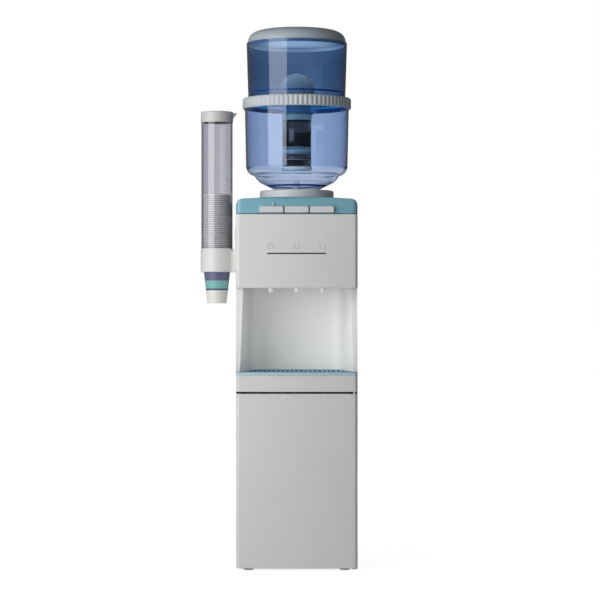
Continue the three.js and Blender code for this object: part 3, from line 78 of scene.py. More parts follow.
def addNode(tree, kind, settings=None, links=None):
    node = tree.nodes.new(kind)
    for name, value in (settings or {}).items():
        if isinstance(name, int) or name in node.inputs:
            node.inputs[name].default_value = value
        else:
            setattr(node, name, value)
    for name, socket in (links or {}).items():
        tree.links.new(socket, node.inputs[name])
    return node


def newMaterial(name):
    material = bpy.data.materials.new(name)
    material.use_nodes = True
    tree = material.node_tree
    tree.nodes.clear()
    place = addNode(tree, "ShaderNodeTexCoord").outputs["Object"]
    return material, tree, place


# The share of the way up between two heights, for colours that change with height
def heightShare(tree, place, low, high):
    split = addNode(tree, "ShaderNodeSeparateXYZ", links={"Vector": place})
    return addNode(tree, "ShaderNodeMapRange", {"From Min": low * mm, "From Max": high * mm},
                   {"Value": split.outputs["Z"]}).outputs[0]


# Plain colours one above the other: each is a height in millimetres over the lowest, and its hex code.
# With repeats, the bands come back at every such share of the height.
def colourBands(tree, place, low, high, bands, repeats=1):
    share = heightShare(tree, place, low, high)
    if repeats > 1:
        turns = addNode(tree, "ShaderNodeMath", {"operation": "MULTIPLY", 1: float(repeats)}, {0: share})
        share = addNode(tree, "ShaderNodeMath", {"operation": "FRACT"}, {0: turns.outputs[0]}).outputs[0]
    ramp = addNode(tree, "ShaderNodeValToRGB", links={"Fac": share})
    ramp.color_ramp.interpolation = "CONSTANT"
    while len(ramp.color_ramp.elements) < len(bands):
        ramp.color_ramp.elements.new(1.0)
    for element, (above, code) in zip(ramp.color_ramp.elements, bands):
        element.position = above * repeats / (high - low)
        element.color = hexColour(code)
    return ramp.outputs["Color"]


print("materials")
# How wide the patches of the broad patterns are, in millimetres. A pattern's scale is 1000 over its size.
patchSizes = {"plasticTint": 160, "paintTint": 220, "scuff": 6}


# Moulded plastic: the mould's fine spark texture breaks up the gloss, and the colour drifts a little
# over a panel. The grain is drawn coarser than the real 0.1 mm, so that it shows.
def mouldedPlastic(name, colour, roughness=0.36, grain=1.2, depth=0.02, drift=0.03, coat=0.0, bands=None):
    material, tree, place = newMaterial(name)
    fine = addNode(tree, "ShaderNodeTexNoise", {"Scale": 1000 / grain, "Detail": 2.0}, {"Vector": place})
    broad = addNode(tree, "ShaderNodeTexNoise", {"Scale": 1000 / patchSizes["plasticTint"], "Detail": 2.0},
                    {"Vector": place})
    tint = addNode(tree, "ShaderNodeMix", {"data_type": "RGBA", "blend_type": "MULTIPLY", 0: 1.0,
                                           6: hexColour(colour)})
    shade = addNode(tree, "ShaderNodeMapRange", {"To Min": 1 - 2 * drift, "To Max": 1.0},
                    {"Value": broad.outputs["Fac"]})
    tree.links.new(shade.outputs[0], tint.inputs[7])
    if bands:
        tree.links.new(colourBands(tree, place, *bands), tint.inputs[6])
    gloss = addNode(tree, "ShaderNodeMapRange", {
        "From Min": 0.3, "From Max": 0.7, "To Min": roughness - 0.05, "To Max": roughness + 0.05},
                    {"Value": fine.outputs["Fac"]})
    bump = addNode(tree, "ShaderNodeBump", {"Strength": 0.25, "Distance": depth * mm},
                   {"Height": fine.outputs["Fac"]})
    body = addNode(tree, "ShaderNodeBsdfPrincipled",
                   {"IOR": 1.5, "Coat Weight": coat, "Coat Roughness": 0.1},
                   {"Base Color": tint.outputs[2], "Roughness": gloss.outputs[0],
                    "Normal": bump.outputs[0]})
    addNode(tree, "ShaderNodeOutputMaterial", links={"Surface": body.outputs[0]})
    return material


# Powder coat on sheet steel: the slight orange peel of the baked paint
def powderCoat(name, colour, roughness=0.42, peel=3.0, depth=0.03, drift=0.03):
    material, tree, place = newMaterial(name)
    peelNoise = addNode(tree, "ShaderNodeTexNoise", {"Scale": 1000 / peel, "Detail": 1.0},
                        {"Vector": place})
    broad = addNode(tree, "ShaderNodeTexNoise", {"Scale": 1000 / patchSizes["paintTint"], "Detail": 2.0},
                    {"Vector": place})
    base = hexColour(colour)
    darker = [channel * (1 - drift) for channel in base[:3]] + [1.0]
    tint = addNode(tree, "ShaderNodeMix", {"data_type": "RGBA", 6: darker, 7: base},
                   {0: broad.outputs["Fac"]})
    gloss = addNode(tree, "ShaderNodeMapRange", {
        "From Min": 0.3, "From Max": 0.7, "To Min": roughness - 0.04, "To Max": roughness + 0.06},
                    {"Value": peelNoise.outputs["Fac"]})
    bump = addNode(tree, "ShaderNodeBump", {"Strength": 0.35, "Distance": depth * mm},
                   {"Height": peelNoise.outputs["Fac"]})
    body = addNode(tree, "ShaderNodeBsdfPrincipled", {"IOR": 1.5},
                   {"Base Color": tint.outputs[2], "Roughness": gloss.outputs[0],
                    "Normal": bump.outputs[0]})
    addNode(tree, "ShaderNodeOutputMaterial", links={"Surface": body.outputs[0]})
    return material


# Clear plastic that takes its tint from its thickness, so that edges and floors seen along the wall
# look deeper. The colour is what one wall lets through. The lamps shine through it, and its walls wave
# slightly.
def clearPlastic(name, through, wall, roughness=0.01, wave=60.0, depth=0.12):
    material, tree, place = newMaterial(name)
    swell = addNode(tree, "ShaderNodeTexNoise", {"Scale": 1000 / wave, "Detail": 1.0}, {"Vector": place})
    scuff = addNode(tree, "ShaderNodeTexNoise", {"Scale": 1000 / patchSizes["scuff"], "Detail": 4.0},
                    {"Vector": place})
    gloss = addNode(tree, "ShaderNodeMapRange", {
        "From Min": 0.5, "From Max": 0.8, "To Min": roughness, "To Max": roughness + 0.05},
                    {"Value": scuff.outputs["Fac"]})
    bump = addNode(tree, "ShaderNodeBump", {"Strength": 0.3, "Distance": depth * mm},
                   {"Height": swell.outputs["Fac"]})
    body = addNode(tree, "ShaderNodeBsdfPrincipled",
                   {"Base Color": (1, 1, 1, 1), "IOR": 1.5, "Transmission Weight": 1.0},
                   {"Roughness": gloss.outputs[0], "Normal": bump.outputs[0]})
    passing = addNode(tree, "ShaderNodeBsdfTransparent", {"Color": (1, 1, 1, 1)})
    path = addNode(tree, "ShaderNodeLightPath")
    both = addNode(tree, "ShaderNodeMixShader", links={
        0: path.outputs["Is Shadow Ray"], 1: body.outputs[0], 2: passing.outputs[0]})
    lost = [-math.log(c) / (wall * mm) for c in hexColour(through)[:3]]
    # The density stays a little over the largest loss, so that no channel of its colour is zero
    headroom = 1.05
    density = max(lost) * headroom
    absorbing = addNode(tree, "ShaderNodeVolumeAbsorption",
                        {"Color": [1 - c / density for c in lost] + [1.0], "Density": density})
    addNode(tree, "ShaderNodeOutputMaterial", links={
        "Surface": both.outputs[0], "Volume": absorbing.outputs[0]})
    return material


# Drawn stainless steel: fine level lines of polish, each a long and narrow streak
def stainlessSteel(name, roughness=0.3, streak=125.0, groove=1.0, depth=0.02):
    material, tree, place = newMaterial(name)
    stretched = addNode(tree, "ShaderNodeMapping",
                        {"Scale": (1000 / streak, 1000 / streak, 1000 / groove)}, {"Vector": place})
    lines = addNode(tree, "ShaderNodeTexNoise", {"Scale": 1.5, "Detail": 3.0},
                    {"Vector": stretched.outputs[0]})
    gloss = addNode(tree, "ShaderNodeMapRange", {"To Min": roughness - 0.1, "To Max": roughness + 0.12},
                    {"Value": lines.outputs["Fac"]})
    bump = addNode(tree, "ShaderNodeBump", {"Strength": 0.2, "Distance": depth * mm},
                   {"Height": lines.outputs["Fac"]})
    body = addNode(tree, "ShaderNodeBsdfPrincipled", {"Base Color": hexColour("C4C6C8"), "Metallic": 1.0},
                   {"Roughness": gloss.outputs[0], "Normal": bump.outputs[0]})
    addNode(tree, "ShaderNodeOutputMaterial", links={"Surface": body.outputs[0]})
    return material


cartridge = placeOf("cartridge_body")
cup = placeOf("next_cup")
cover = placeOf("top_cover")
tray = placeOf("drip_tray")
stack = placeOf("cup_stack")
cartridgeBands = [
    (0, "0B0D10"), (11, "9CAFB3"), (12.5, "3E2826"), (21.5, "0B0D10"), (25, "6C8B93"), (32, "8FA9AE"),
    (35, "64828A"), (40, "0B0D10"), (42.5, "9FB4B8"), (44, "0B0D10"), (108, "39444A"), (109.5, "0B0D10"),
]
cupBands = [(0, "E9E9E2"), (33.6, "4C4D78"), (38.0, "7FBDB9"), (58.4, "696A8A"), (86, "E9E9E2")]
# The lowest 2.2 mm of the top cover, at the seam over the nose, is painted dark blue: painted shade in the
# seam
coverSeamShadeBands = [(0, "2F6F8C"), (2.2, "7FB3C4")]
# The top 1.6 mm of the drip tray is painted dark teal, for the darker things its top face mirrors at a
# grazing angle: painted reflection
trayTopReflectionDepth = 1.6
trayTopReflectionBands = [(0, "BCD5E1"), (tray["high"] - tray["low"] - trayTopReflectionDepth, "3F7F98")]
# The stacked cups' paper has a darker band 1.6 mm tall at the foot of each groove between the rims: painted
# shade in the grooves
cupRims = {"count": 33, "pitch": 5.5, "roll": 0.8, "bands": [(0, "A3A19B"), (1.6, "F0F0EA")]}

finishes = {
    "cabinetAbs": mouldedPlastic("satin_white_abs", "E2E2E0"),
    "panelSteel": powderCoat("white_powder_coated_steel", "E0E0DE"),
    # The cover's colour carries the painted seam shade at its bottom
    "coverAbs": mouldedPlastic("pale_blue_abs", "7FB3C4", 0.3, bands=(
        cover["low"], cover["high"], coverSeamShadeBands)),
    # Painted shade: a dark colour for the pocket behind the keys
    "keyPocketShade": mouldedPlastic("key_pocket_painted_shade_abs", "1F4048", 0.5),
    "keyAbs": mouldedPlastic("pale_grey_abs", "DADDDE", 0.3, grain=0.8),
    "capAbs": mouldedPlastic("light_grey_abs_cap", "CDCDCC", 0.34),
    "collarAbs": mouldedPlastic("grey_abs_collar", "D8DADD", 0.36),
    "ringAbs": mouldedPlastic("grey_blue_abs_ring", "C4CACF", 0.36),
    "webAbs": mouldedPlastic("deep_blue_abs_web", "2CB8F8", 0.8),
    "neckAbs": mouldedPlastic("deep_blue_abs_neck", "286E97", 0.5),
    "headAbs": mouldedPlastic("grey_blue_filter_head", "738D91", 0.26),
    "seamBlue": mouldedPlastic("deep_blue_san_seam", "1246A8", 0.4),
    "beadBlue": mouldedPlastic("bright_blue_san_bead", "3F88E6", 0.35),
    "lidAbs": mouldedPlastic("grey_blue_abs_lid", "B4BEC6", 0.36),
    # Painted light: the lid's underside and skirt are near-white, brighter than the lid, for the light that
    # comes through the thin lid
    "lidUndersideLight": mouldedPlastic("lid_underside_painted_light", "F6F8FA", 0.85),
    "trayAbs": mouldedPlastic("blue_green_abs_tray", "BCD5E1", 0.24, bands=(
        tray["low"], tray["high"], trayTopReflectionBands)),
    "grilleAbs": mouldedPlastic("blue_green_abs_grille", "4F8CA3", 0.3),
    "upperTank": clearPlastic("deep_blue_san_plastic", "819BB8", 3.0),
    "lowerTank": clearPlastic("blue_san_plastic", "C0CFE7", 3.0),
    "tubeAcrylic": clearPlastic("clear_acrylic_tube", "D6D6DC", 2.0, wave=80.0, depth=0.08),
    "lensPlastic": mouldedPlastic("frosted_lens_plastic", "E0E0DF", 0.3),
    # Painted shade: a darker ring at the edge of each lens
    "lensGapShade": mouldedPlastic("lens_edge_painted_gap_shade", "BFC1C1", 0.4),
    "stripPlastic": mouldedPlastic("smoked_strip_plastic", "2C2D2C", 0.2, coat=0.3),
    "footRubber": mouldedPlastic("black_foot_rubber", "1A1A1B", 0.75, grain=2.0, depth=0.06),
    "gasketRubber": mouldedPlastic("grey_gasket_vinyl", "8E9091", 0.6, grain=1.5),
    "blackNylon": mouldedPlastic("black_nylon", "15171A", 0.45),
    "cartridgeBlack": mouldedPlastic("black_filter_shell", "0B0D10", 0.14, coat=0.6, bands=(
        cartridge["low"], cartridge["high"], cartridgeBands)),
    "cartridgeGrey": mouldedPlastic("grey_blue_filter_cap", "C6D3DA", 0.26),
    "ceramic": mouldedPlastic("porous_white_ceramic", "F1EEE6", 0.8, grain=1.5, depth=0.12),
    "foam": mouldedPlastic("white_bead_foam", "E6E5DF", 0.9, grain=4.0, depth=0.4),
    "enamel": mouldedPlastic("black_stove_enamel", "0D0E0F", 0.3, grain=2.5, coat=0.3),
    "steel": stainlessSteel("drawn_stainless_steel"),
    "stackPaper": mouldedPlastic("waxed_white_paper_painted_groove_shade", "E4E4DE", 0.7, grain=0.9, bands=(
        stack["high"] - cupRims["count"] * cupRims["pitch"], stack["high"], cupRims["bands"],
        cupRims["count"])),
    "cupPaper": mouldedPlastic("printed_waxed_paper", "E9E9E2", 0.42, grain=0.9, bands=(
        cup["low"], cup["high"], cupBands)),
}

looks = {
    "cabinetAbs": [
        "nose_panel", "niche_liner", "lower_rail", "storage_liner", "door_shell", "door_liner", "tap_hot",
        "tap_normal", "tap_cold", "child_lock", "cup_wall_plate", "cup_housing", "feed_spike",
        "cup_tube_lid",
    ],
    "panelSteel": ["base_pan", "side_panel_left", "side_panel_right", "rear_cover"],
    "coverAbs": ["top_cover"],
    "keyAbs": ["key_hot", "key_normal", "key_cold"],
    "collarAbs": ["bottle_collar", "drain_plug", "cup_release_ring"],
    "ringAbs": ["coupling_ring"],
    "lidAbs": ["tank_lid"],
    "trayAbs": ["drip_tray"],
    "grilleAbs": ["drip_grille"],
    "upperTank": ["upper_tank"],
    "lowerTank": ["lower_tank"],
    "tubeAcrylic": ["cup_tube"],
    "lensPlastic": ["lens_hot", "lens_normal", "lens_cold"],
    "stripPlastic": ["accent_strip", "heating_switch", "cooling_switch", "door_magnet"],
    "footRubber": ["foot_front_left", "foot_front_right", "foot_rear_left", "foot_rear_right"],
    "gasketRubber": ["door_gasket"],
    "blackNylon": ["power_inlet"],
    "cartridgeBlack": ["cartridge_body"],
    "cartridgeGrey": ["cartridge_head", "cartridge_base"],
    "ceramic": ["ceramic_dome"],
    "foam": ["tank_jacket"],
    "enamel": ["condenser", "compressor"],
    "steel": ["cold_tank", "hot_tank", "door_hinge_top", "door_hinge_bottom"],
    "stackPaper": ["cup_stack"],
    "cupPaper": ["next_cup"],
}
for finish, names in looks.items():
    for name in names:
        mesh = frame["nodes"][name].data
        mesh.materials.clear()
        mesh.materials.append(finishes[finish])

bodies = frame["record"]["behaviour"]["bodies"]
bodyOf = {node: body for body, members in bodies.items() for node in members}


def keepPiece(bm, name, finish, node, smoothAngle=35.0, weighted=False, replaces=True):
    mesh = bpy.data.meshes.new(name)
    bm.to_mesh(mesh)
    bm.free()
    mesh.materials.append(finishes[finish])
    mesh.shade_smooth()
    mesh.set_sharp_from_angle(angle=math.radians(smoothAngle))
    piece = bpy.data.objects.new(name, mesh)
    scene.collection.objects.link(piece)
    if weighted:
        shading = piece.modifiers.new("flat_faces_first", "WEIGHTED_NORMAL")
        shading.keep_sharp = True
    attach(piece, bodyOf[node])
    if replaces:
        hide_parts(node)
    return piece


# Gives some faces of a piece a second finish, chosen by where their middles are and which way they point
def refinish(piece, finish, chosen):
    piece.data.materials.append(finishes[finish])
    second = len(piece.data.materials) - 1
    for face in piece.data.polygons:
        if chosen(face.center / mm, face.normal):
            face.material_index = second


def sharpEdges(bm, angle):
    return [e for e in bm.edges if e.is_manifold and e.calc_face_angle(0) > math.radians(angle)]


weld = {"solid": 0.005, "spin": 0.004, "flatAngle": 0.3}
spinSteps = {"tank": 128, "small": 96, "cupStack": 64}
# How near to a surface, in millimetres, a corner or the middle of a face counts as on it
near = 0.2


# The solid again, with its flat faces whole and its corners broken as a mould breaks them
def softened(node, finish, width, steps=2, angle=35.0):
    bm = bmesh.new()
    bm.from_mesh(frame["nodes"][node].data)
    bmesh.ops.remove_doubles(bm, verts=bm.verts, dist=weld["solid"] * mm)
    bmesh.ops.dissolve_limit(bm, angle_limit=math.radians(weld["flatAngle"]), verts=bm.verts,
                             edges=bm.edges)
    bmesh.ops.bevel(bm, geom=sharpEdges(bm, angle), offset=width * mm, offset_type="OFFSET",
                    segments=steps, profile=0.5, affect="EDGES", clamp_overlap=True, material=-1)
    return keepPiece(bm, node + "_moulded", finish, node, angle, weighted=True)


# A profile of radius and height in millimetres, spun about an upright axis
def spun(profile, axis=bottleAxis, steps=spinSteps["tank"], soft=0.0, angle=30.0, softSteps=3):
    bm = bmesh.new()
    points = [bm.verts.new(((axis[0] + radius) * mm, axis[1] * mm, height * mm))
              for radius, height in profile]
    for first, second in zip(points, points[1:] + points[:1]):
        bm.edges.new((first, second))
    bmesh.ops.spin(bm, geom=bm.verts[:] + bm.edges[:], angle=2 * math.pi, steps=steps, use_merge=True,
                   axis=(0, 0, 1), cent=(axis[0] * mm, axis[1] * mm, 0))
    bmesh.ops.remove_doubles(bm, verts=bm.verts, dist=weld["spin"] * mm)
    bmesh.ops.recalc_face_normals(bm, faces=bm.faces)
    if soft:
        bmesh.ops.bevel(bm, geom=sharpEdges(bm, angle), offset=soft * mm, offset_type="OFFSET",
                        segments=softSteps, profile=0.5, affect="EDGES", clamp_overlap=True, material=-1)
    return bm


# Points of a smooth bend between two places, drawn towards a corner
def bend(start, corner, end, steps=8):
    shares = [i / steps for i in range(steps + 1)]
    return [tuple((1 - t) ** 2 * a + 2 * t * (1 - t) * b + t * t * c
                  for a, b, c in zip(start, corner, end)) for t in shares]


# A closed section: the outside line, and the same line one wall further in, thinner below a height
def walled(outside, wall, thin=0.0, below=0.0):
    inside = []
    for i, (radius, height) in enumerate(outside):
        before = outside[max(i - 1, 0)]
        after = outside[min(i + 1, len(outside) - 1)]
        along = Vector((after[0] - before[0], after[1] - before[1])).normalized()
        here = thin if height < below else wall
        inside.append((max(radius - along.y * here, 0.0), height + along.x * here))
    return outside + inside[::-1]


print("cabinet panels")
# How far each piece's corners are broken, in millimetres
cornerWidths = {
    "door_shell": 1.2, "lower_rail": 0.8, "nose_panel": 1.0, "niche_liner": 0.5, "drip_tray": 1.2,
    "drip_grille": 0.7, "key_hot": 0.5, "key_normal": 0.5, "key_cold": 0.5, "child_lock": 0.4,
    "cup_wall_plate": 0.8, "cup_housing": 0.6, "bottle_collar": 0.5, "tap_hot": 0.3, "tap_normal": 0.3,
    "tap_cold": 0.3, "feed_spike": 0.3, "foot_front_left": 0.6, "foot_front_right": 0.6,
    "foot_rear_left": 0.6, "foot_rear_right": 0.6, "power_inlet": 0.4, "drain_plug": 0.5,
    "heating_switch": 0.3, "cooling_switch": 0.3, "side_panel_left": 0.4, "side_panel_right": 0.4,
    "rear_cover": 0.3, "base_pan": 0.4, "storage_liner": 0.8, "door_liner": 0.8,
}
# The same for the pieces that get a second finish below
twoToneWidths = {"top_cover": 0.8, "lens": 0.3, "cartridge_head": 0.8}
finishOf = {node: finish for finish, members in looks.items() for node in members}
for node, width in cornerWidths.items():
    softened(node, finishOf[node], width)

# The pocket behind the keys is painted dark: painted shade, for the shade that falls in the gap behind the
# keys
pocket = {"gap": 1.0, "depth": 10.0, "rearWall": 30.0}
hotKey = placeOf("key_hot")
coldKey = placeOf("key_cold")
refinish(softened("top_cover", "coverAbs", twoToneWidths["top_cover"]), "keyPocketShade", lambda at, facing: (
    hotKey["left"] - pocket["gap"] < at.x < coldKey["right"] + pocket["gap"]
    and hotKey["front"] + pocket["depth"] < at.y < cover["back"] - pocket["rearWall"]
    and hotKey["low"] - pocket["gap"] < at.z < hotKey["high"] + pocket["gap"]))

# The outer 1 mm of each lens is painted darker: painted shade of the gap round the lens
lensGapShadeWidth = 1.0
for node in looks["lensPlastic"]:
    lens = placeOf(node)
    middleZ = (lens["low"] + lens["high"]) / 2
    refinish(softened(node, "lensPlastic", twoToneWidths["lens"]), "lensGapShade", lambda at, facing: (
        math.hypot(at.x - lens["x"], at.z - middleZ) > lens["radius"] - lensGapShadeWidth))

print("lower tank")
tank = placeOf("lower_tank")
lowerTank = {"wall": 3.0, "bottomWall": 1.7, "bottomDepth": 4.0, "lean": 1.6, "rimSoft": 0.8}
# The wall's bends from the neck up: where each starts, is drawn towards and ends, as a radius and a
# height over the neck's end, and its steps
lowerBends = {
    "neck": ((27.0, 15.0), (27.0, 17.0), (31.0, 19.0), 3),
    "cone": ((90.5, 47.5), (95.5, 50.0), (98.5, 52.2), 3),
    "step": ((102.5, 57.0), (105.1, 58.5), (105.8, 60.5), 4),
    "ledge": ((109.9, 66.9), (110.7, 68.3), (112.5, 68.7), 3),
    "foot": ((113.9, 69.1), (129.2, 73.1), (132.7, 91.6), 12),
}
neckStraight = 14.0
seam = {"height": 38.8, "wide": 4.4}
neckX = lowerBends["neck"][0][0]
footX = lowerBends["foot"][2][0]
footZ = tank["low"] + lowerBends["foot"][2][1]
outside = [(neckX, tank["low"]), (neckX, tank["low"] + neckStraight)]
for start, corner, end, steps in lowerBends.values():
    lifted = [(radius, tank["low"] + height) for radius, height in (start, corner, end)]
    outside += bend(*lifted, steps)
outside += [(footX + lowerTank["lean"], (footZ + tank["high"]) / 2), (tank["radius"], tank["high"])]
section = walled(outside, lowerTank["wall"], lowerTank["bottomWall"], footZ - lowerTank["bottomDepth"])
seamLow, seamHigh = tank["low"] + seam["height"], tank["low"] + seam["height"] + seam["wide"]
for edge in (seamLow, seamHigh):
    for i, (first, second) in enumerate(zip(section[:len(outside)], section[1:len(outside)])):
        if first[1] < edge < second[1]:
            share = (edge - first[1]) / (second[1] - first[1])
            section.insert(i + 1, (first[0] + (second[0] - first[0]) * share, edge))
            break
blown = keepPiece(spun(section, soft=lowerTank["rimSoft"], angle=50), "lower_tank_blown", "lowerTank",
                  "lower_tank", smoothAngle=60, weighted=True)
refinish(blown, "seamBlue", lambda at, facing: seamLow < at.z < seamHigh and facing.z < 0)

print("upper tank")
tank = placeOf("upper_tank")
upperTank = {"wall": 3.0, "stem": 13.0, "foot": 126.4, "bend": 6.0, "thickFoot": 12.0, "belly": 0.2,
             "footLip": 0.6, "rimSoft": 0.6}
footX = upperTank["foot"]
outside = [(upperTank["stem"], tank["low"])]
outside += bend((footX - upperTank["bend"], tank["low"]), (footX, tank["low"]),
                (footX, tank["low"] + upperTank["bend"]), 8)
middle = (tank["low"] + tank["high"]) / 2
bellyX = (footX + tank["radius"]) / 2 + upperTank["belly"]
outside += [(bellyX, middle), (tank["radius"], tank["high"])]
wall = upperTank["wall"]
thick = upperTank["thickFoot"]
inside = [(tank["radius"] - wall, tank["high"]), (bellyX - wall, middle)]
inside += bend((footX - wall + upperTank["footLip"], tank["low"] + wall + thick),
               (footX - wall, tank["low"] + wall), (footX - wall - thick, tank["low"] + wall), 12)
inside += [(upperTank["stem"], tank["low"] + wall)]
keepPiece(spun(outside + inside, soft=upperTank["rimSoft"], angle=60), "upper_tank_blown", "upperTank",
          "upper_tank", smoothAngle=60, weighted=True)

# A bead of deeper blue runs round the inner wall, a little over the foot
bead = {"low": 25.0, "high": 29.4, "wide": 2.6, "gap": 0.2, "soft": 0.5}
beadShare = bead["low"] / (tank["high"] - tank["low"])
beadOut = footX + (tank["radius"] - footX) * beadShare - wall - bead["gap"]
profile = [(beadOut - bead["wide"], tank["low"] + bead["low"]), (beadOut, tank["low"] + bead["low"]),
           (beadOut, tank["low"] + bead["high"]), (beadOut - bead["wide"], tank["low"] + bead["high"])]
keepPiece(spun(profile, soft=bead["soft"]), "upper_tank_floor_bead", "beadBlue", "upper_tank",
          smoothAngle=40, replaces=False)

print("coupling ring")
ring = placeOf("coupling_ring")
ringSizes = {"ribs": 72, "ribDepth": 2.0, "ribEnd": 3.0, "bore": 137.3, "upperBore": 127.7, "web": 116.0,
             "webGap": 0.3, "webWall": 3.0, "stepsPerRib": 8, "blueDepth": 7.0, "edge": 0.8,
             "boreEdge": 0.5, "boreLip": 0.4, "ribFade": 1.0, "ribSteepness": 0.95}
root = ring["radius"] - ringSizes["ribDepth"]
bore = ringSizes["bore"]
upperBore = ringSizes["upperBore"]
edge = ringSizes["edge"]
boreEdge = ringSizes["boreEdge"]
ribFade = ringSizes["ribFade"]
webLow = placeOf("lower_tank")["high"] + ringSizes["webGap"]
webTop = webLow + ringSizes["webWall"]
ribLow = ring["low"] + ringSizes["ribEnd"]
ribHigh = ring["high"] - ringSizes["ribEnd"]
profile = [
    (bore, ring["low"] + ringSizes["boreLip"]), (bore + boreEdge, ring["low"]), (root - edge, ring["low"]),
    (root, ring["low"] + edge), (root, ribLow - ribFade), (root, ribLow), (root, (ribLow + ribHigh) / 2),
    (root, ribHigh), (root, ribHigh + ribFade), (root, ring["high"] - edge), (root - edge, ring["high"]),
    (upperBore + boreEdge, ring["high"]), (upperBore, ring["high"] - boreEdge), (upperBore, webTop),
    (ringSizes["web"], webTop), (ringSizes["web"], webLow), (bore, webLow),
    (bore, webLow - ringSizes["blueDepth"]),
]
bm = spun(profile, steps=ringSizes["ribs"] * ringSizes["stepsPerRib"])
for vert in bm.verts:
    across = Vector((vert.co.x / mm - bottleAxis[0], vert.co.y / mm - bottleAxis[1]))
    height = vert.co.z / mm
    if abs(across.length - root) > near or not ribLow - near < height < ribHigh + near:
        continue
    turn = math.atan2(across.y, across.x) * ringSizes["ribs"]
    crest = min(1.0, max(0.0, 0.5 + ringSizes["ribSteepness"] * math.cos(turn)))
    vert.co += across.normalized().to_3d() * ringSizes["ribDepth"] * crest * mm
ribbed = keepPiece(bm, "coupling_ring_ribbed", "ringAbs", "coupling_ring", smoothAngle=50)
refinish(ribbed, "webAbs", lambda at, facing: (
    webLow - ringSizes["blueDepth"] < at.z < webTop + near
    and math.hypot(at.x - bottleAxis[0], at.y - bottleAxis[1]) < bore + near))

print("tank lid")
lid = placeOf("tank_lid")
lidSizes = {"wall": 3.0, "skirt": 8.0, "gap": 0.6, "flange": 2.7, "flangeEdge": 0.6, "shoulder": 128.2,
            "crownRadiusShare": 0.66, "crownHeightShare": 0.92, "curveHeightShare": 0.86,
            "curveRadiusShare": 0.985, "flangeRise": 0.2, "crownIn": 4.0, "crownRise": 0.3}
lidLow = lid["low"] + lidSizes["skirt"]
rise = lid["high"] - lidLow
shoulder = lidSizes["shoulder"]
flangeTop = lidLow + lidSizes["flange"]
skirtX = placeOf("upper_tank")["radius"] - upperTank["wall"] - lidSizes["gap"]
crown = (shoulder * lidSizes["crownRadiusShare"], lidLow + rise * lidSizes["crownHeightShare"])
bendTo = (shoulder * lidSizes["curveRadiusShare"], lidLow + rise * lidSizes["curveHeightShare"])
wall = lidSizes["wall"]
profile = [(0.0, lidLow), (skirtX - wall, lidLow), (skirtX - wall, lid["low"]), (skirtX, lid["low"]),
           (skirtX, lidLow), (lid["radius"], lidLow), (lid["radius"], flangeTop - lidSizes["flangeEdge"]),
           (lid["radius"] - lidSizes["flangeEdge"], flangeTop)]
profile += bend((shoulder, flangeTop + lidSizes["flangeRise"]), bendTo, crown, 16)
profile += bend((crown[0] - lidSizes["crownIn"], crown[1] + lidSizes["crownRise"]),
                (crown[0] / 2, lid["high"]), (0.0, lid["high"]), 8)
moulded = keepPiece(spun(profile), "tank_lid_moulded", "lidAbs", "tank_lid")
# The underside and skirt of the lid are painted near-white, lighter than the lid's top, for the light that
# comes through the lid from above: painted light
refinish(moulded, "lidUndersideLight", lambda at, facing: (
    at.z < lidLow + near and math.hypot(at.x - bottleAxis[0], at.y - bottleAxis[1]) < skirtX + near))

print("ceramic dome and cartridge")
dome = placeOf("ceramic_dome")
domeSizes = {"radius": 46.0, "base": 7.0, "stem": 9.0, "gap": 0.3, "steps": 20, "lowEdge": 0.8,
             "topEdge": 1.0}
floorTop = placeOf("upper_tank")["low"] + upperTank["wall"] + domeSizes["gap"]
baseTop = floorTop + domeSizes["base"]
top = dome["high"]
domeRound = domeSizes["radius"]
lowEdge = domeSizes["lowEdge"]
topEdge = domeSizes["topEdge"]
profile = [(0.0, dome["low"]), (domeSizes["stem"], dome["low"]), (domeSizes["stem"], floorTop),
           (dome["radius"] - lowEdge, floorTop), (dome["radius"], floorTop + lowEdge),
           (dome["radius"], baseTop - topEdge), (dome["radius"] - topEdge, baseTop),
           (domeRound, baseTop)]
turns = [math.pi / 2 * i / domeSizes["steps"] for i in range(domeSizes["steps"])]
profile += [(domeRound * math.cos(turn), top - domeRound + domeRound * math.sin(turn)) for turn in turns]
profile += [(0.0, top)]
keepPiece(spun(profile, steps=spinSteps["small"]), "ceramic_dome_cast", "ceramic", "ceramic_dome",
          smoothAngle=40)

cartridgeSizes = {"inset": 0.6, "ridges": (9.0, 22.0, 41.2, 107.0), "ridgeProud": 0.5, "footRound": 8.0,
                  "headHeight": 18.3, "edge": 1.0, "ridgeSlope": 0.4, "ridgeFlat": 0.5}
shell = cartridge["radius"] - cartridgeSizes["inset"]
crest = shell + cartridgeSizes["ridgeProud"]
edge = cartridgeSizes["edge"]
profile = [(0.0, cartridge["low"]), (shell - edge, cartridge["low"]), (shell, cartridge["low"] + edge)]
for height in cartridgeSizes["ridges"]:
    ridge = cartridge["low"] + height
    ridgeTop = ridge + cartridgeSizes["ridgeSlope"]
    ridgeEnd = ridgeTop + cartridgeSizes["ridgeFlat"]
    profile += [(shell, ridge), (crest, ridgeTop), (crest, ridgeEnd),
                (shell, ridgeEnd + cartridgeSizes["ridgeSlope"])]
profile += [(shell, cartridge["high"] - edge), (shell - edge, cartridge["high"]), (0.0, cartridge["high"])]
keepPiece(spun(profile, steps=spinSteps["small"]), "cartridge_shell", "cartridgeBlack", "cartridge_body",
          smoothAngle=60)

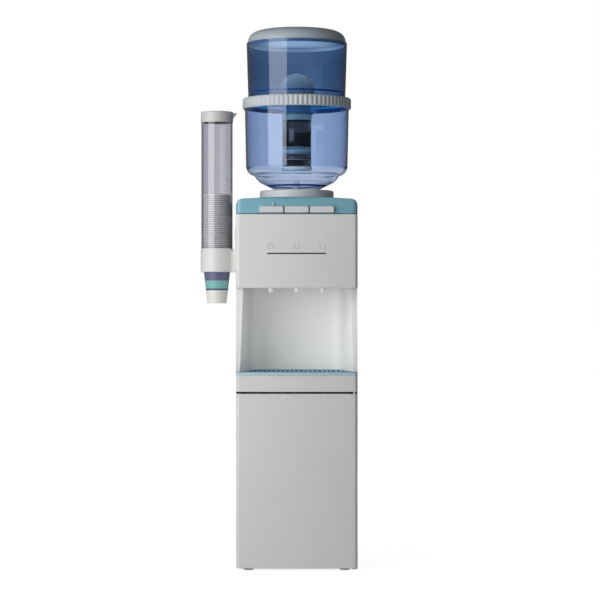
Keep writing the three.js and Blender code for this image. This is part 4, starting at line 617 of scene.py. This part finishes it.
base = placeOf("cartridge_base")
footRound = cartridgeSizes["footRound"]
profile = [(0.0, base["low"]), (base["radius"] - footRound, base["low"])]
profile += bend((base["radius"] - footRound, base["low"]), (base["radius"], base["low"]),
                (base["radius"], base["low"] + footRound), 6)[1:]
profile += [(base["radius"], base["high"] - edge), (base["radius"] - edge, base["high"]),
            (0.0, base["high"])]
keepPiece(spun(profile, steps=spinSteps["small"]), "cartridge_foot_cap", "cartridgeGrey", "cartridge_base",
          smoothAngle=40)
headTop = placeOf("cartridge_head")["low"] + cartridgeSizes["headHeight"]
refinish(softened("cartridge_head", "headAbs", twoToneWidths["cartridge_head"]), "neckAbs",
         lambda at, facing: at.z > headTop)

print("cup dispenser")
tube = placeOf("cup_tube")
tubeSizes = {"wall": 2.0, "soft": 0.4}
tubeBore = tube["radius"] - tubeSizes["wall"]
profile = [(tubeBore, tube["low"]), (tube["radius"], tube["low"]), (tube["radius"], tube["high"]),
           (tubeBore, tube["high"])]
keepPiece(spun(profile, cupAxis, spinSteps["small"], tubeSizes["soft"]), "cup_tube_clear", "tubeAcrylic",
          "cup_tube", smoothAngle=50, weighted=True)

cupSizes = {"foot": 24.7, "mouth": 35.2, "height": 95.0, "paper": 0.5, "waistIn": 2.2, "footRecess": 3.0,
            "footFold": 0.8, "recessIn": 1.2, "rimGap": 0.1, "mouthDrop": 0.4}
foot = cupSizes["foot"]
roll = cupRims["roll"]
innerTop = cupSizes["mouth"] - cupSizes["paper"]
waist = cupSizes["mouth"] - cupSizes["waistIn"]
mouthDrop = cupSizes["mouthDrop"]


# The outer half of a cup's rolled rim, round the middle of the roll
def rolledRim(radius, height):
    return [(radius + roll * math.cos(turn), height + roll * math.sin(turn))
            for turn in (-1.5, -0.8, 0.0, 0.8, 1.5)]


firstRim = stack["high"] - (cupRims["count"] - 1) * cupRims["pitch"]
stackFloor = stack["high"] - cupSizes["height"] + cupSizes["paper"]
profile = [(0.0, stack["low"]), (foot, stack["low"]), (waist, firstRim - cupRims["pitch"])]
for i in range(cupRims["count"]):
    middle = firstRim + i * cupRims["pitch"] - roll
    profile += [(waist, middle - roll - cupSizes["rimGap"])]
    profile += rolledRim(stack["radius"] - roll, middle)
profile += [(innerTop, stack["high"] - mouthDrop), (foot - cupSizes["paper"], stackFloor), (0.0, stackFloor)]
keepPiece(spun(profile, cupAxis, spinSteps["cupStack"]), "cup_stack_nested", "stackPaper", "cup_stack",
          smoothAngle=40)

recess = cup["low"] + cupSizes["footRecess"]
cupFloor = recess + cupSizes["paper"]
profile = [(0.0, recess), (foot - cupSizes["recessIn"], recess), (foot - cupSizes["footFold"], cup["low"]),
           (foot, cup["low"]), (cupSizes["mouth"], cup["high"] - 2 * roll)]
profile += rolledRim(cup["radius"] - roll, cup["high"] - roll)
profile += [(innerTop, cup["high"] - mouthDrop), (foot - cupSizes["paper"], cupFloor), (0.0, cupFloor)]
keepPiece(spun(profile, cupAxis, spinSteps["small"]), "next_cup_paper", "cupPaper", "next_cup",
          smoothAngle=40)

cap = placeOf("cup_tube_lid")
capSizes = {"gap": 0.3, "wall": 1.2, "round": 3.0, "crown": 1.5, "crownRise": 0.1, "soft": 0.3}
tabSizes = {"reach": 9.5, "half": 10.0, "lip": 2.2, "taper": 8.0, "taperOut": 4.0, "root": 15.0,
            "sink": 0.4, "soft": 0.9}
capBore = tube["radius"] + capSizes["gap"]
outer = capBore + capSizes["wall"]
capTop = cap["high"] - capSizes["crown"]
capInside = capTop - capSizes["wall"]
capRound = capSizes["round"]
profile = [(capBore, cap["low"]), (outer, cap["low"]), (outer, capTop - capRound)]
profile += bend((outer, capTop - capRound), (outer, capTop),
                (outer - capRound, capTop + capSizes["crownRise"]), 6)[1:]
profile += [(0.0, cap["high"]), (0.0, capInside), (capBore, capInside)]
keepPiece(spun(profile, cupAxis, spinSteps["small"], capSizes["soft"], angle=60), "tube_cap", "capAbs",
          "cup_tube_lid", smoothAngle=40)

bm = bmesh.new()
inX = cupAxis[0] + capBore + tabSizes["sink"]
outX = cupAxis[0] + outer + tabSizes["reach"]
tabTop = capTop - capRound
tabCorners = [(inX, tabTop), (outX, tabTop), (outX, tabTop - tabSizes["lip"]),
              (inX + tabSizes["taperOut"], tabTop - tabSizes["taper"]), (inX, tabTop - tabSizes["root"])]
side = [bm.verts.new((x * mm, (cupAxis[1] - tabSizes["half"]) * mm, z * mm)) for x, z in tabCorners]
face = bm.faces.new(side)
swept = bmesh.ops.extrude_face_region(bm, geom=[face])
bmesh.ops.translate(bm, vec=(0, 2 * tabSizes["half"] * mm, 0),
                    verts=[v for v in swept["geom"] if isinstance(v, bmesh.types.BMVert)])
bmesh.ops.recalc_face_normals(bm, faces=bm.faces)
bmesh.ops.bevel(bm, geom=sharpEdges(bm, 20), offset=tabSizes["soft"] * mm, offset_type="OFFSET",
                segments=3, profile=0.5, affect="EDGES", clamp_overlap=True, material=-1)
keepPiece(bm, "tube_cap_tab", "capAbs", "cup_tube_lid", weighted=True, replaces=False)

print("stage, lamps and camera")


def linkObject(name, data, place=(0, 0, 0), aim=None):
    thing = bpy.data.objects.new(name, data)
    scene.collection.objects.link(thing)
    thing.location = place
    if aim is not None:
        thing.rotation_euler = (Vector(aim) - Vector(place)).to_track_quat("-Z", "Y").to_euler()
    return thing


photo = {"pixel": 2.54, "distance": 5500.0, "right": 8.3, "height": 689.6, "width": 600, "sensor": 36.0}
camera = bpy.data.cameras.new("photo_camera")
camera.sensor_width = photo["sensor"]
camera.lens = photo["sensor"] * photo["distance"] / (photo["width"] * photo["pixel"])
camera.clip_end = 60.0
eye = Vector((door["x"] + photo["right"], door["front"] - photo["distance"], photo["height"])) * mm
scene.camera = linkObject("photo_camera", camera, eye, eye + Vector((0, 1, 0)))

# The softbox at the left makes the stripe on the tanks. The cards fill what white walls would fill.
nicheMiddle = 613.5
cardGap = 6.0
axisX = bottleAxis[0] * mm
axisY = bottleAxis[1] * mm
doorX = door["x"] * mm
lamps = {
    "left_softbox": {"at": (-1.62, -1.72, 1.25), "aim": (0.03, 0.0, 0.85),
                     "size": (1.9, 2.1), "power": 46.0},
    "front_fill": {"at": (-0.6, -6.3, 0.8), "aim": (0.05, 0.0, 0.7),
                   "size": (2.4, 1.2), "power": 38.0},
    "rear_fill": {"at": (1.6, 3.2, 1.3), "aim": (0.0, 0.1, 0.75),
                  "size": (2.0, 2.0), "power": 34.0},
    "niche_card": {"at": (doorX, (door["front"] + cardGap) * mm, nicheMiddle * mm),
                   "aim": (doorX, 0.1, nicheMiddle * mm), "size": (0.27, 0.19), "power": 0.12},
    "ring_card": {"at": (axisX, axisY, 1.13), "aim": (axisX, 0.0, 1.2),
                  "size": (0.21, 0.21), "power": 0.2},
    "lid_card": {"at": (axisX, axisY, 1.33), "aim": (axisX, 0.0, 1.4),
                 "size": (0.19, 0.19), "power": 0.14},
}
mirrored = "left_softbox"
for name, lamp in lamps.items():
    light = bpy.data.lights.new(name, "AREA")
    light.shape = "RECTANGLE"
    light.size, light.size_y = lamp["size"]
    light.energy = lamp["power"]
    shown = linkObject(name, light, lamp["at"], lamp["aim"])
    shown.visible_camera = False
    shown.visible_glossy = name == mirrored
    shown.visible_transmission = name == mirrored

# A white studio to the camera and through the tanks, and a dim one to the lit surfaces, darkest at the
# right
world = bpy.data.worlds.new("white_studio")
scene.world = world
world.use_nodes = True
tree = world.node_tree
tree.nodes.clear()
path = addNode(tree, "ShaderNodeLightPath")
straight = addNode(tree, "ShaderNodeMath", {"operation": "LESS_THAN", 1: 0.5},
                   {0: path.outputs["Glossy Depth"]})
through = addNode(tree, "ShaderNodeMath", {"operation": "MULTIPLY"},
                  {0: path.outputs["Is Transmission Ray"], 1: straight.outputs[0]})
white = addNode(tree, "ShaderNodeMath", {"operation": "MAXIMUM"},
                {0: path.outputs["Is Camera Ray"], 1: through.outputs[0]})
split = addNode(tree, "ShaderNodeSeparateXYZ",
                links={"Vector": addNode(tree, "ShaderNodeTexCoord").outputs["Generated"]})
rearward = addNode(tree, "ShaderNodeMapRange",
                   {"From Min": -0.2, "From Max": 0.7, "To Min": 0.13, "To Max": 0.18},
                   {"Value": split.outputs["Y"]})
leftward = addNode(tree, "ShaderNodeMapRange",
                   {"From Min": 0.8, "From Max": -0.3, "To Min": 0.45, "To Max": 1.0},
                   {"Value": split.outputs["X"]})
dim = addNode(tree, "ShaderNodeMath", {"operation": "MULTIPLY"},
              {0: rearward.outputs[0], 1: leftward.outputs[0]})
strength = addNode(tree, "ShaderNodeMix", {"data_type": "FLOAT", 3: 1.0},
                   {0: white.outputs[0], 2: dim.outputs[0]})
sky = addNode(tree, "ShaderNodeBackground", {"Color": (1, 1, 1, 1)}, {"Strength": strength.outputs[0]})
addNode(tree, "ShaderNodeOutputWorld", links={"Surface": sky.outputs[0]})

# White paper floor: it glows to the camera, more so far away where the lamps don't reach, so that lit
# paper is white and the shadow near the object stays
floorSizes = {"radius": 14.0, "under": 0.0005, "glowFrom": 0.9, "glowTo": 3.5, "patchesPerMetre": 3.0}
floorMaterial, tree, place = newMaterial("white_studio_floor")
path = addNode(tree, "ShaderNodeLightPath")
seen = addNode(tree, "ShaderNodeMath", {"operation": "MAXIMUM"},
               {0: path.outputs["Is Camera Ray"], 1: path.outputs["Is Transmission Ray"]})
haze = addNode(tree, "ShaderNodeTexNoise", {"Scale": floorSizes["patchesPerMetre"]}, {"Vector": place})
away = addNode(tree, "ShaderNodeVectorMath", {"operation": "LENGTH"}, {0: place})
farther = addNode(tree, "ShaderNodeMapRange", {
    "From Min": floorSizes["glowFrom"], "From Max": floorSizes["glowTo"], "To Min": 0.86, "To Max": 1.0},
                  {"Value": away.outputs["Value"]})
glow = addNode(tree, "ShaderNodeMath", {"operation": "MULTIPLY"},
               {0: seen.outputs[0], 1: farther.outputs[0]})
dull = addNode(tree, "ShaderNodeMapRange", {"To Min": 0.7, "To Max": 0.85},
               {"Value": haze.outputs["Fac"]})
paper = addNode(tree, "ShaderNodeBsdfPrincipled",
                {"Base Color": hexColour("C8C8C8"), "Specular IOR Level": 0.1,
                 "Emission Color": (1, 1, 1, 1)},
                {"Roughness": dull.outputs[0], "Emission Strength": glow.outputs[0]})
addNode(tree, "ShaderNodeOutputMaterial", links={"Surface": paper.outputs[0]})
bm = bmesh.new()
bmesh.ops.create_circle(bm, cap_ends=True, segments=64, radius=floorSizes["radius"])
floorMesh = bpy.data.meshes.new("studio_floor")
bm.to_mesh(floorMesh)
bm.free()
floorMesh.materials.append(floorMaterial)
floor = linkObject("studio_floor", floorMesh, (0, 0, -floorSizes["under"]))

print("sizes")
